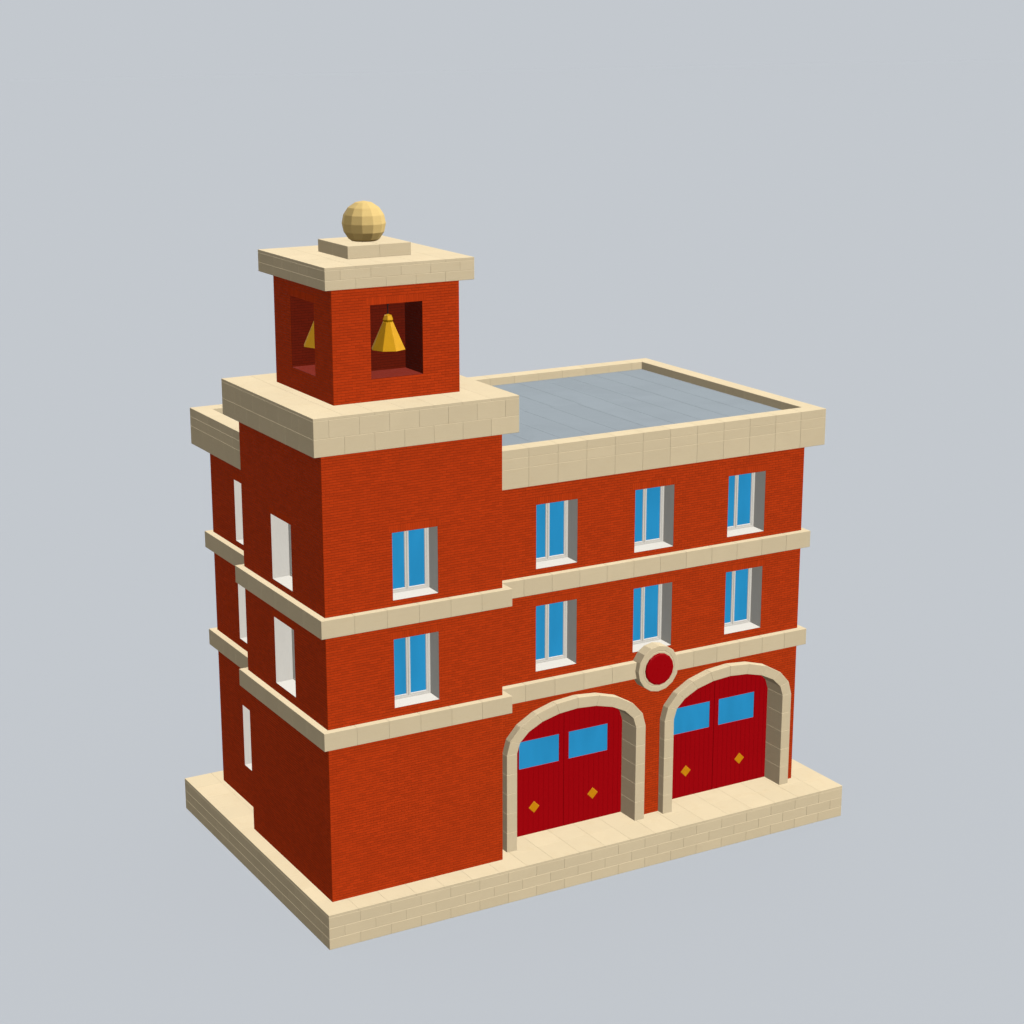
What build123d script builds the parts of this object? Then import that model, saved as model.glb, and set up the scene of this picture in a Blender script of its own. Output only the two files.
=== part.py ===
from build123d import *
import os
from math import cos, pi, radians, sin

# Three-storey brick fire station with two arched engine bays and a corner bell tower.
# Millimetres, +Z up, +X to the right, the engine bays face -Y.
# The origin is at the middle of the plinth's underside.

os.makedirs("parts", exist_ok=True)

# ---------------------------------------------------------------- driving dimensions
# Plinth
PLINTH_W, PLINTH_D, PLINTH_H = 18200, 11200, 1050

# Main block and tower: outside sizes, how far the tower stands proud of the block's
# left and front walls, and wall thickness. The block is as wide as its front needs,
# from the tower through the two engine bays and their piers to the right corner.
MAIN_D, MAIN_Y = 9100, 275
TOWER_W, TOWER_D = 5515, 5690
TOWER_PROUD_X, TOWER_PROUD_Y = 607.5, 615
WALL = 600
MAIN_TOP = 12250
TOWER_TOP = 14000

# Floors and roof
FIRST_FLOOR_Z, SECOND_FLOOR_Z = 5690, 8925
FLOOR_SLAB = 250
ROOF_SLAB = 300

# Bands, cornices and parapet
STRING_H, STRING_PROUD = 525, 210
LOWER_STRING_Z, UPPER_STRING_Z = 5690, 8925
CORNICE_H, CORNICE_PROUD = 875, 437
PARAPET_H, PARAPET_W = 265, 532
TOWER_CORNICE_H, TOWER_CORNICE_PROUD = 1050, 350
TOWER_DECK = 350

# Belfry, its niches and the finial
BELFRY_W, BELFRY_H = 3850, 3150
NICHE_W, NICHE_H, NICHE_DEPTH, NICHE_SILL = 1575, 2015, 1050, 610
CAP_H, CAP_PROUD = 612, 315
FINIAL_W, FINIAL_H = 1925, 350
BALL_R, BALL_RISE = 612, 482
BALL_SEGMENTS, BALL_RINGS = 12, 8

# Windows: clear width, sill and height of each row, reveal, lining and frame
WINDOW_W = 1400
GROUND_ROW, FIRST_ROW, TOP_ROW = (2270, 2015), (6475, 2015), (9625, 1925)
REVEAL, LINING = 525, 20
FRAME_D, FRAME_BAR = 60, 140
GLASS_T, GLASS_SET = 8, 12
FRONT_PITCH, SIDE_PITCH, BACK_PITCH = 3415, 3860, 3415

# Engine bays: brickwork beside the tower, between the surrounds and at the right corner,
# clear size, surround
TOWER_PIER, MIDDLE_PIER, CORNER_PIER = 347.5, 700, 345
BAY_W, SPRING_RISE, ARCH_RISE = 4200, 3080, 1032
ARCH_BLOCKS = 10
SURROUND_W, SURROUND_PROUD = 350, 265
SURROUND_DEPTH = 520
SURROUND_ARCH_EXTRA = 340

# Door leaves and their fittings
DOOR_GAP, LEAF_LAP = 5, 50
MEETING_GAP, LEAF_FOOT_GAP = 12, 10
BOARD_T, LEDGE_T = 50, 30
STILE_W, BOTTOM_RAIL_H = 150, 440
LOCK_RAIL_Z = 1550
PANE_W, PANE_H, PANE_SILL, PANE_X = 1400, 875, 2180, 875
PANE_T, PANE_SET = 10, 12
DIAMOND_R, DIAMOND_T, DIAMOND_X, DIAMOND_Z = 210, 15, 1050, 864
HINGE_HEIGHTS = (350, 1700, 2750)
STRAP_L, STRAP_H, STRAP_T = 520, 80, 10
PIN_R, PIN_FIT = 14, 0.3
EYE_R = 28
PIN_BACK, PIN_INSET = 30, 12
LUG_T, LUG_R, LUG_GAP = 12, 22, 5
BRACKET_X, BRACKET_W, BRACKET_T = 20, 32, 12

# Medallion between the arches
MEDALLION_Z, MEDALLION_R, MEDALLION_PROUD = 5950, 735, 395
DISC_R, DISC_T = 504, 55
MEDALLION_SIDES = 16

# Bells and their hangers
BELL_SIDES = 8
BELL_R, BELL_TOP_R, BELL_H, BELL_WALL = 490, 147, 745, 40
BELL_LIP_Z = 16350
KNOB_R, KNOB_SINK, KNOB_SEGMENTS, KNOB_RINGS = 157, 92, 6, 4
PIVOT_DROP = 85
STEM_R, BELL_EYE_R, BELL_EYE_T = 15, 32, 36
BELL_PIN_R = 12
HANGER_W, HANGER_D, HANGER_T = 220, 140, 15
CLAPPER_ROD_R, CLAPPER_R, CLAPPER_GAP = 12, 55, 45

# ---------------------------------------------------------------- places worked out from them
OUTER_HALF = BAY_W / 2 + SURROUND_W
BAY_PITCH = 2 * OUTER_HALF + MIDDLE_PIER
FRONT_W = TOWER_PIER + BAY_PITCH + 2 * OUTER_HALF + CORNER_PIER
MAIN_W = TOWER_W - TOWER_PROUD_X + FRONT_W
MAIN_LEFT, MAIN_RIGHT = -MAIN_W / 2, MAIN_W / 2
MAIN_FRONT, MAIN_BACK = MAIN_Y - MAIN_D / 2, MAIN_Y + MAIN_D / 2
TOWER_LEFT, TOWER_FRONT = MAIN_LEFT - TOWER_PROUD_X, MAIN_FRONT - TOWER_PROUD_Y
TOWER_RIGHT, TOWER_BACK = TOWER_LEFT + TOWER_W, TOWER_FRONT + TOWER_D
TOWER_X, TOWER_Y = TOWER_LEFT + TOWER_W / 2, TOWER_FRONT + TOWER_D / 2
FLOOR_Z = PLINTH_H
SPRING_Z = FLOOR_Z + SPRING_RISE
ROOF_Z = MAIN_TOP + CORNICE_H
LEDGE_Z = ROOF_Z - ROOF_SLAB
BELFRY_Z = TOWER_TOP + TOWER_CORNICE_H
CAP_Z = BELFRY_Z + BELFRY_H
FINIAL_Z = CAP_Z + CAP_H
BALL_SEAT_Z = FINIAL_Z + FINIAL_H
NICHE_Z = BELFRY_Z + NICHE_SILL
NICHE_TOP = NICHE_Z + NICHE_H
BAYS_X = TOWER_RIGHT + TOWER_PIER + OUTER_HALF + BAY_PITCH / 2
BAY_CENTRES = (BAYS_X - BAY_PITCH / 2, BAYS_X + BAY_PITCH / 2)
LEAF_FRONT = MAIN_FRONT + SURROUND_DEPTH + DOOR_GAP
LEAF_T = BOARD_T + LEDGE_T
PIN_Y = LEAF_FRONT + LEAF_T + PIN_BACK
PIN_OUT = BAY_W / 2 + LEAF_LAP - PIN_INSET
PIVOT_Z = NICHE_TOP - PIVOT_DROP


# ---------------------------------------------------------------- planes of the elevations
def front_plane(y):
    """Elevation that faces -Y; its own x runs along X and its own y along Z."""
    return Plane(origin=(0, y, 0), x_dir=(1, 0, 0), z_dir=(0, -1, 0))


def back_plane(y):
    """Elevation that faces +Y; its own x runs along -X."""
    return Plane(origin=(0, y, 0), x_dir=(-1, 0, 0), z_dir=(0, 1, 0))


def right_plane(x):
    """Elevation that faces +X; its own x runs along Y."""
    return Plane(origin=(x, 0, 0), x_dir=(0, 1, 0), z_dir=(1, 0, 0))


def left_plane(x):
    """Elevation that faces -X; its own x runs along -Y."""
    return Plane(origin=(x, 0, 0), x_dir=(0, -1, 0), z_dir=(-1, 0, 0))


# ---------------------------------------------------------------- shapes used more than once
def span(across, up, mode=Mode.ADD):
    """Rectangle in the current sketch between two limits each way."""
    with Locations(((across[0] + across[1]) / 2, (up[0] + up[1]) / 2)):
        Rectangle(across[1] - across[0], up[1] - up[0], mode=mode)


def grown(limits, margin):
    """Limits moved outwards by a margin."""
    return (limits[0] - margin, limits[1] + margin)


def evenly(count, pitch, centre=0):
    """Places at an even pitch about a centre."""
    return [centre + (i - (count - 1) / 2) * pitch for i in range(count)]


def windows(columns, rows):
    """Every window as its centre across, its centre up and its clear height."""
    return [(column, sill + height / 2, height) for column in columns for sill, height in rows]


def window_holes(sites):
    """Cuts in a wall for each window and its lining."""
    for across, up, height in sites:
        with Locations((across, up)):
            Rectangle(WINDOW_W + 2 * LINING, height + 2 * LINING, mode=Mode.SUBTRACT)


def wall(plane, across, up, sites=()):
    """Wall with its window holes, drawn in elevation and thickened inwards."""
    with BuildSketch(plane) as elevation:
        span(across, up)
        window_holes(sites)
    extrude(elevation.sketch, amount=-WALL)


def window_linings(plane, sites):
    """White lining of each reveal, from the face of the wall to the back of the frame."""
    for across, up, height in sites:
        with BuildSketch(plane) as lining:
            with Locations((across, up)):
                Rectangle(WINDOW_W + 2 * LINING, height + 2 * LINING)
                Rectangle(WINDOW_W, height, mode=Mode.SUBTRACT)
        extrude(lining.sketch, amount=-(REVEAL + FRAME_D))


def window_frames(plane, sites):
    """Frame and mullion at the inner end of each reveal."""
    for across, up, height in sites:
        with BuildSketch(plane.offset(-REVEAL)) as frame:
            with Locations((across, up)):
                Rectangle(WINDOW_W, height)
                with GridLocations(PANE_PITCH, 0, 2, 1):
                    Rectangle(LIGHT_W, height - 2 * FRAME_BAR, mode=Mode.SUBTRACT)
        extrude(frame.sketch, amount=-FRAME_D)


def window_panes(plane, sites):
    """Two sheets of glass in each window, a little behind the face of the frame."""
    for across, up, height in sites:
        with BuildSketch(plane.offset(-(REVEAL + GLASS_SET))) as panes:
            with Locations((across, up)):
                with GridLocations(PANE_PITCH, 0, 2, 1):
                    Rectangle(LIGHT_W, height - 2 * FRAME_BAR)
        extrude(panes.sketch, amount=-GLASS_T)


def doorway(centre, half_width, rise, foot=FLOOR_Z, mode=Mode.ADD):
    """Doorway outline: plumb jambs under a flattened arch of straight blocks."""
    turns = [pi * i / ARCH_BLOCKS for i in range(ARCH_BLOCKS + 1)]
    arch = [(centre - half_width * cos(turn), SPRING_Z + rise * sin(turn)) for turn in turns]
    with BuildLine() as outline:
        Polyline((centre - half_width, foot), *arch, (centre + half_width, foot), close=True)
    make_face(outline.edges(), mode=mode)


def faceted_ball(centre, radius, segments, rings):
    """Ball of flat facets between parallels, with a vertex at each pole."""
    x, y, z = centre
    parallels = [pi * i / rings - pi / 2 for i in range(1, rings)]
    sections = [Vertex(x, y, z - radius)]
    for latitude in parallels:
        with BuildSketch(Plane((x, y, z + radius * sin(latitude))), mode=Mode.PRIVATE) as ring:
            RegularPolygon(radius * cos(latitude), segments)
        sections.append(ring.sketch.face())
    sections.append(Vertex(x, y, z + radius))
    loft(sections=sections, ruled=True)


def export(part, name):
    """Names a finished piece and writes it to its own file."""
    part.label = name
    export_step(part, f"parts/{name}.step")


LIGHT_W = (WINDOW_W - 3 * FRAME_BAR) / 2
PANE_PITCH = LIGHT_W + FRAME_BAR

MAIN_SPAN_X, MAIN_SPAN_Y = (MAIN_LEFT, MAIN_RIGHT), (MAIN_FRONT, MAIN_BACK)
TOWER_SPAN_X, TOWER_SPAN_Y = (TOWER_LEFT, TOWER_RIGHT), (TOWER_FRONT, TOWER_BACK)
MAIN_ROOM_X, MAIN_ROOM_Y = grown(MAIN_SPAN_X, -WALL), grown(MAIN_SPAN_Y, -WALL)
TOWER_ROOM_X, TOWER_ROOM_Y = grown(TOWER_SPAN_X, -WALL), grown(TOWER_SPAN_Y, -WALL)

FRONT_WINDOWS = windows(evenly(3, FRONT_PITCH, BAYS_X), (FIRST_ROW, TOP_ROW))
BACK_WINDOWS = windows(evenly(4, BACK_PITCH), (GROUND_ROW, FIRST_ROW, TOP_ROW))
RIGHT_WINDOWS = windows(evenly(2, SIDE_PITCH, MAIN_Y), (GROUND_ROW, FIRST_ROW, TOP_ROW))
LEFT_WINDOWS = windows([-(MAIN_Y + SIDE_PITCH / 2)], (GROUND_ROW, FIRST_ROW, TOP_ROW))
TOWER_FRONT_WINDOWS = windows([TOWER_X], (FIRST_ROW, TOP_ROW))
TOWER_LEFT_WINDOWS = windows([-TOWER_Y], (FIRST_ROW, TOP_ROW))

# ---------------------------------------------------------------- plinth
with BuildPart() as plinth:
    Box(PLINTH_W, PLINTH_D, PLINTH_H, align=(Align.CENTER, Align.CENTER, Align.MIN))
export(plinth.part, "plinth")

# ---------------------------------------------------------------- front wall of the main block
OUTER_RISE = ARCH_RISE + SURROUND_ARCH_EXTRA

with BuildPart() as front_piers:
    with BuildSketch(front_plane(MAIN_FRONT)):
        span((TOWER_RIGHT, MAIN_RIGHT), (FLOOR_Z, SPRING_Z))
        for centre in BAY_CENTRES:
            span((centre - OUTER_HALF, centre + OUTER_HALF), (FLOOR_Z, SPRING_Z), Mode.SUBTRACT)
    extrude(amount=-WALL)
export(front_piers.part, "front_piers")

with BuildPart() as front_arch_wall:
    with BuildSketch(front_plane(MAIN_FRONT)):
        span((TOWER_RIGHT, MAIN_RIGHT), (SPRING_Z, LOWER_STRING_Z))
        for centre in BAY_CENTRES:
            doorway(centre, OUTER_HALF, OUTER_RISE, mode=Mode.SUBTRACT)
    extrude(amount=-WALL)
export(front_arch_wall.part, "front_arch_wall")

with BuildPart() as front_upper_wall:
    wall(front_plane(MAIN_FRONT), (TOWER_RIGHT, MAIN_RIGHT), (LOWER_STRING_Z, MAIN_TOP), FRONT_WINDOWS)
export(front_upper_wall.part, "front_upper_wall")

# ---------------------------------------------------------------- other walls
with BuildPart() as right_wall:
    wall(right_plane(MAIN_RIGHT), MAIN_ROOM_Y, (FLOOR_Z, MAIN_TOP), RIGHT_WINDOWS)
export(right_wall.part, "right_wall")

with BuildPart() as back_wall:
    wall(back_plane(MAIN_BACK), MAIN_SPAN_X, (FLOOR_Z, MAIN_TOP), BACK_WINDOWS)
export(back_wall.part, "back_wall")

with BuildPart() as left_wall:
    wall(left_plane(MAIN_LEFT), (-MAIN_ROOM_Y[1], -TOWER_BACK), (FLOOR_Z, MAIN_TOP), LEFT_WINDOWS)
export(left_wall.part, "left_wall")

with BuildPart() as tower_front_wall:
    wall(front_plane(TOWER_FRONT), TOWER_SPAN_X, (FLOOR_Z, TOWER_TOP), TOWER_FRONT_WINDOWS)
export(tower_front_wall.part, "tower_front_wall")

with BuildPart() as tower_left_wall:
    across = (-TOWER_BACK, -TOWER_ROOM_Y[0])
    wall(left_plane(TOWER_LEFT), across, (FLOOR_Z, TOWER_TOP), TOWER_LEFT_WINDOWS)
export(tower_left_wall.part, "tower_left_wall")

# Below the roof the tower opens into the main block, so that only its two corner returns
# are built. Above the roof its right and back walls stand on the roof slab.
with BuildPart() as tower_inner_walls:
    with BuildSketch(Plane.XY.offset(FLOOR_Z)):
        span((TOWER_ROOM_X[1], TOWER_RIGHT), (TOWER_ROOM_Y[0], MAIN_ROOM_Y[0]))
        span((TOWER_ROOM_X[0], MAIN_ROOM_X[0]), (TOWER_ROOM_Y[1], TOWER_BACK))
    extrude(amount=LEDGE_Z - FLOOR_Z)
    with BuildSketch(Plane.XY.offset(ROOF_Z)):
        span((TOWER_ROOM_X[0], TOWER_RIGHT), (TOWER_ROOM_Y[0], TOWER_BACK))
        span((TOWER_ROOM_X[0], TOWER_ROOM_X[1]), (TOWER_ROOM_Y[0], TOWER_ROOM_Y[1]), Mode.SUBTRACT)
    extrude(amount=TOWER_TOP - ROOF_Z)
export(tower_inner_walls.part, "tower_inner_walls")

# ---------------------------------------------------------------- floors and roof
with BuildPart() as upper_floors:
    for top in (FIRST_FLOOR_Z, SECOND_FLOOR_Z):
        with BuildSketch(Plane.XY.offset(top - FLOOR_SLAB)):
            span(MAIN_ROOM_X, MAIN_ROOM_Y)
            span(TOWER_ROOM_X, TOWER_ROOM_Y)
        extrude(amount=FLOOR_SLAB)
export(upper_floors.part, "upper_floors")

# The slab reaches out to the parapet's inner face and bears on the cornice's ledge.
ROOF_EDGE = PARAPET_W - CORNICE_PROUD
ROOF_X, ROOF_Y = grown(MAIN_SPAN_X, -ROOF_EDGE), grown(MAIN_SPAN_Y, -ROOF_EDGE)

# Slab, cornice and parapet stop at the tower, which reaches past them at its outer corner.
TOWER_NOTCH_X = (TOWER_LEFT - CORNICE_PROUD, TOWER_RIGHT)
TOWER_NOTCH_Y = (TOWER_FRONT - CORNICE_PROUD, TOWER_BACK)

with BuildPart() as roof_slab:
    with BuildSketch(Plane.XY.offset(LEDGE_Z)):
        span(ROOF_X, ROOF_Y)
        span(TOWER_NOTCH_X, TOWER_NOTCH_Y, Mode.SUBTRACT)
        span((TOWER_ROOM_X[0], TOWER_RIGHT), (TOWER_ROOM_Y[0], TOWER_BACK))
    extrude(amount=ROOF_SLAB)
export(roof_slab.part, "roof_slab")

CORNICE_X, CORNICE_Y = grown(MAIN_SPAN_X, CORNICE_PROUD), grown(MAIN_SPAN_Y, CORNICE_PROUD)

with BuildPart() as main_cornice:
    for low, high, hole_x, hole_y in (
        (MAIN_TOP, LEDGE_Z, MAIN_ROOM_X, MAIN_ROOM_Y),
        (LEDGE_Z, ROOF_Z, ROOF_X, ROOF_Y),
    ):
        with BuildSketch(Plane.XY.offset(low)):
            span(CORNICE_X, CORNICE_Y)
            span(hole_x, hole_y, Mode.SUBTRACT)
            span(TOWER_NOTCH_X, TOWER_NOTCH_Y, Mode.SUBTRACT)
        extrude(amount=high - low)
export(main_cornice.part, "main_cornice")

with BuildPart() as parapet:
    with BuildSketch(Plane.XY.offset(ROOF_Z)):
        span(CORNICE_X, CORNICE_Y)
        span(ROOF_X, ROOF_Y, Mode.SUBTRACT)
        span(TOWER_NOTCH_X, TOWER_NOTCH_Y, Mode.SUBTRACT)
    extrude(amount=PARAPET_H)
export(parapet.part, "parapet")

# ---------------------------------------------------------------- medallion and string courses
MEDALLION_AT = (BAYS_X, MEDALLION_Z)

with BuildPart() as medallion_stone:
    with BuildSketch(front_plane(MAIN_FRONT)):
        with Locations(MEDALLION_AT):
            RegularPolygon(MEDALLION_R, MEDALLION_SIDES)
    extrude(amount=MEDALLION_PROUD)
export(medallion_stone.part, "medallion_stone")

with BuildPart() as medallion_disc:
    with BuildSketch(front_plane(MAIN_FRONT - MEDALLION_PROUD)):
        with Locations(MEDALLION_AT):
            RegularPolygon(DISC_R, MEDALLION_SIDES)
    extrude(amount=DISC_T)
export(medallion_disc.part, "medallion_disc")


def string_course(bottom):
    """Band that runs round the outside of the main block and the tower."""
    with BuildSketch(Plane.XY.offset(bottom)) as band:
        span(grown(MAIN_SPAN_X, STRING_PROUD), grown(MAIN_SPAN_Y, STRING_PROUD))
        span(grown(TOWER_SPAN_X, STRING_PROUD), grown(TOWER_SPAN_Y, STRING_PROUD))
        span(MAIN_SPAN_X, MAIN_SPAN_Y, Mode.SUBTRACT)
        span(TOWER_SPAN_X, TOWER_SPAN_Y, Mode.SUBTRACT)
    extrude(band.sketch, amount=STRING_H)


# The lower band stops against the medallion on both sides.
with BuildPart() as lower_string_course:
    string_course(LOWER_STRING_Z)
    with BuildSketch(front_plane(MAIN_FRONT)):
        with Locations(MEDALLION_AT):
            RegularPolygon(MEDALLION_R, MEDALLION_SIDES)
    extrude(amount=MEDALLION_PROUD, mode=Mode.SUBTRACT)
export(lower_string_course.part, "lower_string_course")

with BuildPart() as upper_string_course:
    string_course(UPPER_STRING_Z)
export(upper_string_course.part, "upper_string_course")

# ---------------------------------------------------------------- tower top and belfry
with BuildPart() as tower_cornice:
    with BuildSketch(Plane.XY.offset(TOWER_TOP)):
        span(grown(TOWER_SPAN_X, TOWER_CORNICE_PROUD), grown(TOWER_SPAN_Y, TOWER_CORNICE_PROUD))
    extrude(amount=TOWER_CORNICE_H)
    with BuildSketch(Plane.XY.offset(TOWER_TOP)):
        span(TOWER_ROOM_X, TOWER_ROOM_Y)
    extrude(amount=TOWER_CORNICE_H - TOWER_DECK, mode=Mode.SUBTRACT)
export(tower_cornice.part, "tower_cornice")

BELFRY_HALF = BELFRY_W / 2
QUARTER_TURNS = {"front": 0, "right": 90, "back": 180, "left": 270}


def niche_plane(turn):
    """Elevation plane on one face of the belfry, with its own y along Z."""
    out = (sin(radians(turn)), -cos(radians(turn)))
    along = (cos(radians(turn)), sin(radians(turn)), 0)
    face = (TOWER_X + BELFRY_HALF * out[0], TOWER_Y + BELFRY_HALF * out[1], 0)
    return Plane(origin=face, x_dir=along, z_dir=(*out, 0))


with BuildPart() as belfry:
    with BuildSketch(Plane.XY.offset(BELFRY_Z)):
        with Locations((TOWER_X, TOWER_Y)):
            Rectangle(BELFRY_W, BELFRY_W)
    extrude(amount=BELFRY_H)
    for turn in QUARTER_TURNS.values():
        with BuildSketch(niche_plane(turn)):
            span((-NICHE_W / 2, NICHE_W / 2), (NICHE_Z, NICHE_TOP))
        extrude(amount=-NICHE_DEPTH, mode=Mode.SUBTRACT)
export(belfry.part, "belfry")

with BuildPart() as belfry_cap:
    with BuildSketch(Plane.XY.offset(CAP_Z)):
        with Locations((TOWER_X, TOWER_Y)):
            Rectangle(BELFRY_W + 2 * CAP_PROUD, BELFRY_W + 2 * CAP_PROUD)
    extrude(amount=CAP_H)
export(belfry_cap.part, "belfry_cap")

with BuildPart() as finial_plinth:
    with BuildSketch(Plane.XY.offset(FINIAL_Z)):
        with Locations((TOWER_X, TOWER_Y)):
            Rectangle(FINIAL_W, FINIAL_W)
    extrude(amount=FINIAL_H)
export(finial_plinth.part, "finial_plinth")

# The ball is cut flat where it sits on its plinth.
with BuildPart() as finial_ball:
    faceted_ball((TOWER_X, TOWER_Y, BALL_SEAT_Z + BALL_RISE), BALL_R, BALL_SEGMENTS, BALL_RINGS)
    split(bisect_by=Plane.XY.offset(BALL_SEAT_Z), keep=Keep.TOP)
export(finial_ball.part, "finial_ball")

# ---------------------------------------------------------------- windows
WINDOW_WALLS = (
    (front_plane(MAIN_FRONT), FRONT_WINDOWS),
    (front_plane(TOWER_FRONT), TOWER_FRONT_WINDOWS),
    (left_plane(TOWER_LEFT), TOWER_LEFT_WINDOWS),
    (left_plane(MAIN_LEFT), LEFT_WINDOWS),
    (back_plane(MAIN_BACK), BACK_WINDOWS),
    (right_plane(MAIN_RIGHT), RIGHT_WINDOWS),
)

with BuildPart() as linings:
    for plane, sites in WINDOW_WALLS:
        window_linings(plane, sites)
export(linings.part, "window_linings")

with BuildPart() as frames:
    for plane, sites in WINDOW_WALLS:
        window_frames(plane, sites)
export(frames.part, "window_frames")

with BuildPart() as glass:
    for plane, sites in WINDOW_WALLS:
        window_panes(plane, sites)
export(glass.part, "window_glass")

# ---------------------------------------------------------------- door surrounds
with BuildPart() as door_surrounds:
    with BuildSketch(front_plane(MAIN_FRONT - SURROUND_PROUD)):
        for centre in BAY_CENTRES:
            doorway(centre, OUTER_HALF, OUTER_RISE)
            doorway(centre, BAY_W / 2, ARCH_RISE, mode=Mode.SUBTRACT)
    extrude(amount=-(SURROUND_PROUD + SURROUND_DEPTH))
export(door_surrounds.part, "door_surrounds")

# ---------------------------------------------------------------- door leaves
LEAF_HALF, LEAF_RISE = BAY_W / 2 + LEAF_LAP, ARCH_RISE + LEAF_LAP
LEAF_TOP = SPRING_Z + LEAF_RISE
LEAF_FOOT = FLOOR_Z + LEAF_FOOT_GAP


def from_middle(centre, side, near, far):
    """Limits across one leaf, measured from the middle of its bay."""
    return tuple(sorted((centre + side * near, centre + side * far)))


def leaf_outline(centre, side):
    """Half of the arched door, from its meeting edge to its hinge edge."""
    doorway(centre, LEAF_HALF, LEAF_RISE, foot=LEAF_FOOT)
    meeting = from_middle(centre, side, MEETING_GAP / 2, LEAF_HALF)
    span(meeting, (LEAF_FOOT, LEAF_TOP), Mode.INTERSECT)
    pane = from_middle(centre, side, PANE_X - PANE_W / 2, PANE_X + PANE_W / 2)
    span(pane, (FLOOR_Z + PANE_SILL, FLOOR_Z + PANE_SILL + PANE_H), Mode.SUBTRACT)


def door_leaf(centre, side):
    """Boarded leaf with a ledged and braced frame on its back."""
    field_z = (LEAF_FOOT + BOTTOM_RAIL_H, FLOOR_Z + LOCK_RAIL_Z)
    field_x = (MEETING_GAP / 2 + STILE_W, LEAF_HALF - STILE_W)
    with BuildSketch(front_plane(LEAF_FRONT)) as boards:
        leaf_outline(centre, side)
    extrude(boards.sketch, amount=-BOARD_T)
    with BuildSketch(front_plane(LEAF_FRONT + BOARD_T)) as framing:
        leaf_outline(centre, side)
        span(from_middle(centre, side, *field_x), field_z, Mode.SUBTRACT)
        with BuildLine():
            Polyline(
                (centre + side * field_x[1], field_z[0]),
                (centre + side * field_x[0], field_z[1] - STILE_W),
                (centre + side * field_x[0], field_z[1]),
                (centre + side * (field_x[0] + STILE_W), field_z[1]),
                (centre + side * field_x[1], field_z[0] + STILE_W),
                close=True,
            )
        make_face()
    extrude(framing.sketch, amount=-LEDGE_T)


def leaf_pane(centre, side):
    """Sheet of glass set in the leaf's window."""
    pane = from_middle(centre, side, PANE_X - PANE_W / 2, PANE_X + PANE_W / 2)
    with BuildSketch(front_plane(LEAF_FRONT + PANE_SET)) as glass:
        span(pane, (FLOOR_Z + PANE_SILL, FLOOR_Z + PANE_SILL + PANE_H))
    extrude(glass.sketch, amount=-PANE_T)


def leaf_fittings(centre, side):
    """Brass diamond plate on the face, and strap hinges with their eyes on the back."""
    with BuildSketch(front_plane(LEAF_FRONT)) as diamond:
        with Locations((centre + side * DIAMOND_X, FLOOR_Z + DIAMOND_Z)):
            RegularPolygon(DIAMOND_R, 4)
    extrude(diamond.sketch, amount=DIAMOND_T)
    pin_x = centre + side * PIN_OUT
    back = LEAF_FRONT + LEAF_T
    for height in HINGE_HEIGHTS:
        with BuildSketch(Plane.XY.offset(FLOOR_Z + height - STRAP_H / 2)) as strap:
            span(tuple(sorted((pin_x, pin_x - side * STRAP_L))), (back, back + STRAP_T))
            with Locations((pin_x, PIN_Y)):
                Circle(EYE_R)
                Circle(PIN_R + PIN_FIT, mode=Mode.SUBTRACT)
        extrude(strap.sketch, amount=STRAP_H)


for bay, centre in enumerate(BAY_CENTRES, start=1):
    for hand, side in (("left", -1), ("right", 1)):
        with BuildPart() as leaf:
            door_leaf(centre, side)
        export(leaf.part, f"bay_{bay}_{hand}_leaf")
        with BuildPart() as pane:
            leaf_pane(centre, side)
        export(pane.part, f"bay_{bay}_{hand}_pane")
        with BuildPart() as fittings:
            leaf_fittings(centre, side)
        export(fittings.part, f"bay_{bay}_{hand}_fittings")


def pintle(pin_x, side, height):
    """Hinge pin between two lugs of a bracket on the back of the door surround."""
    stone = MAIN_FRONT + SURROUND_DEPTH
    reach = STRAP_H / 2 + LUG_GAP
    foot_x = tuple(sorted((pin_x + side * BRACKET_X, pin_x + side * (BRACKET_X + BRACKET_W))))
    neck_x = tuple(sorted((pin_x, foot_x[1] if side > 0 else foot_x[0])))
    for low in (height - reach - LUG_T, height + reach):
        with BuildSketch(Plane.XY.offset(low)) as lug:
            span(foot_x, (stone, PIN_Y + LUG_R))
            span(neck_x, (PIN_Y - LUG_R, PIN_Y + LUG_R))
            with Locations((pin_x, PIN_Y)):
                Circle(LUG_R)
        extrude(lug.sketch, amount=LUG_T)
    with BuildSketch(Plane.XY.offset(height - reach)) as post:
        span(foot_x, (stone, stone + BRACKET_T))
        with Locations((pin_x, PIN_Y)):
            Circle(PIN_R)
    extrude(post.sketch, amount=2 * reach)


with BuildPart() as door_pintles:
    for centre in BAY_CENTRES:
        for side in (-1, 1):
            for height in HINGE_HEIGHTS:
                pintle(centre + side * PIN_OUT, side, FLOOR_Z + height)
export(door_pintles.part, "door_pintles")


# ---------------------------------------------------------------- bells
def niche_point(turn, inwards=0):
    """Point in plan in the middle of one niche, moved inwards from its middle depth."""
    out = BELFRY_HALF - NICHE_DEPTH / 2 - inwards
    return (TOWER_X + out * sin(radians(turn)), TOWER_Y - out * cos(radians(turn)))


def cross_plane(turn, inwards):
    """Plane across the swing axis of one niche's bell, with its own y along Z."""
    x, y = niche_point(turn, inwards)
    along = (cos(radians(turn)), sin(radians(turn)), 0)
    return Plane(origin=(x, y, 0), x_dir=along, z_dir=(sin(radians(turn)), -cos(radians(turn)), 0))


def bell_cone(x, y, inset, mode=Mode.ADD):
    """Tapered bell shape with flat sides, smaller by an inset at its sides and its top."""
    crown = BELL_LIP_Z + BELL_H - inset
    sections = []
    for level, radius in ((BELL_LIP_Z, BELL_R - inset), (crown, BELL_TOP_R - inset)):
        with BuildSketch(Plane((x, y, level)), mode=Mode.PRIVATE) as ring:
            RegularPolygon(radius, BELL_SIDES)
        sections.append(ring.sketch.face())
    loft(sections=sections, ruled=True, mode=mode)


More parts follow.
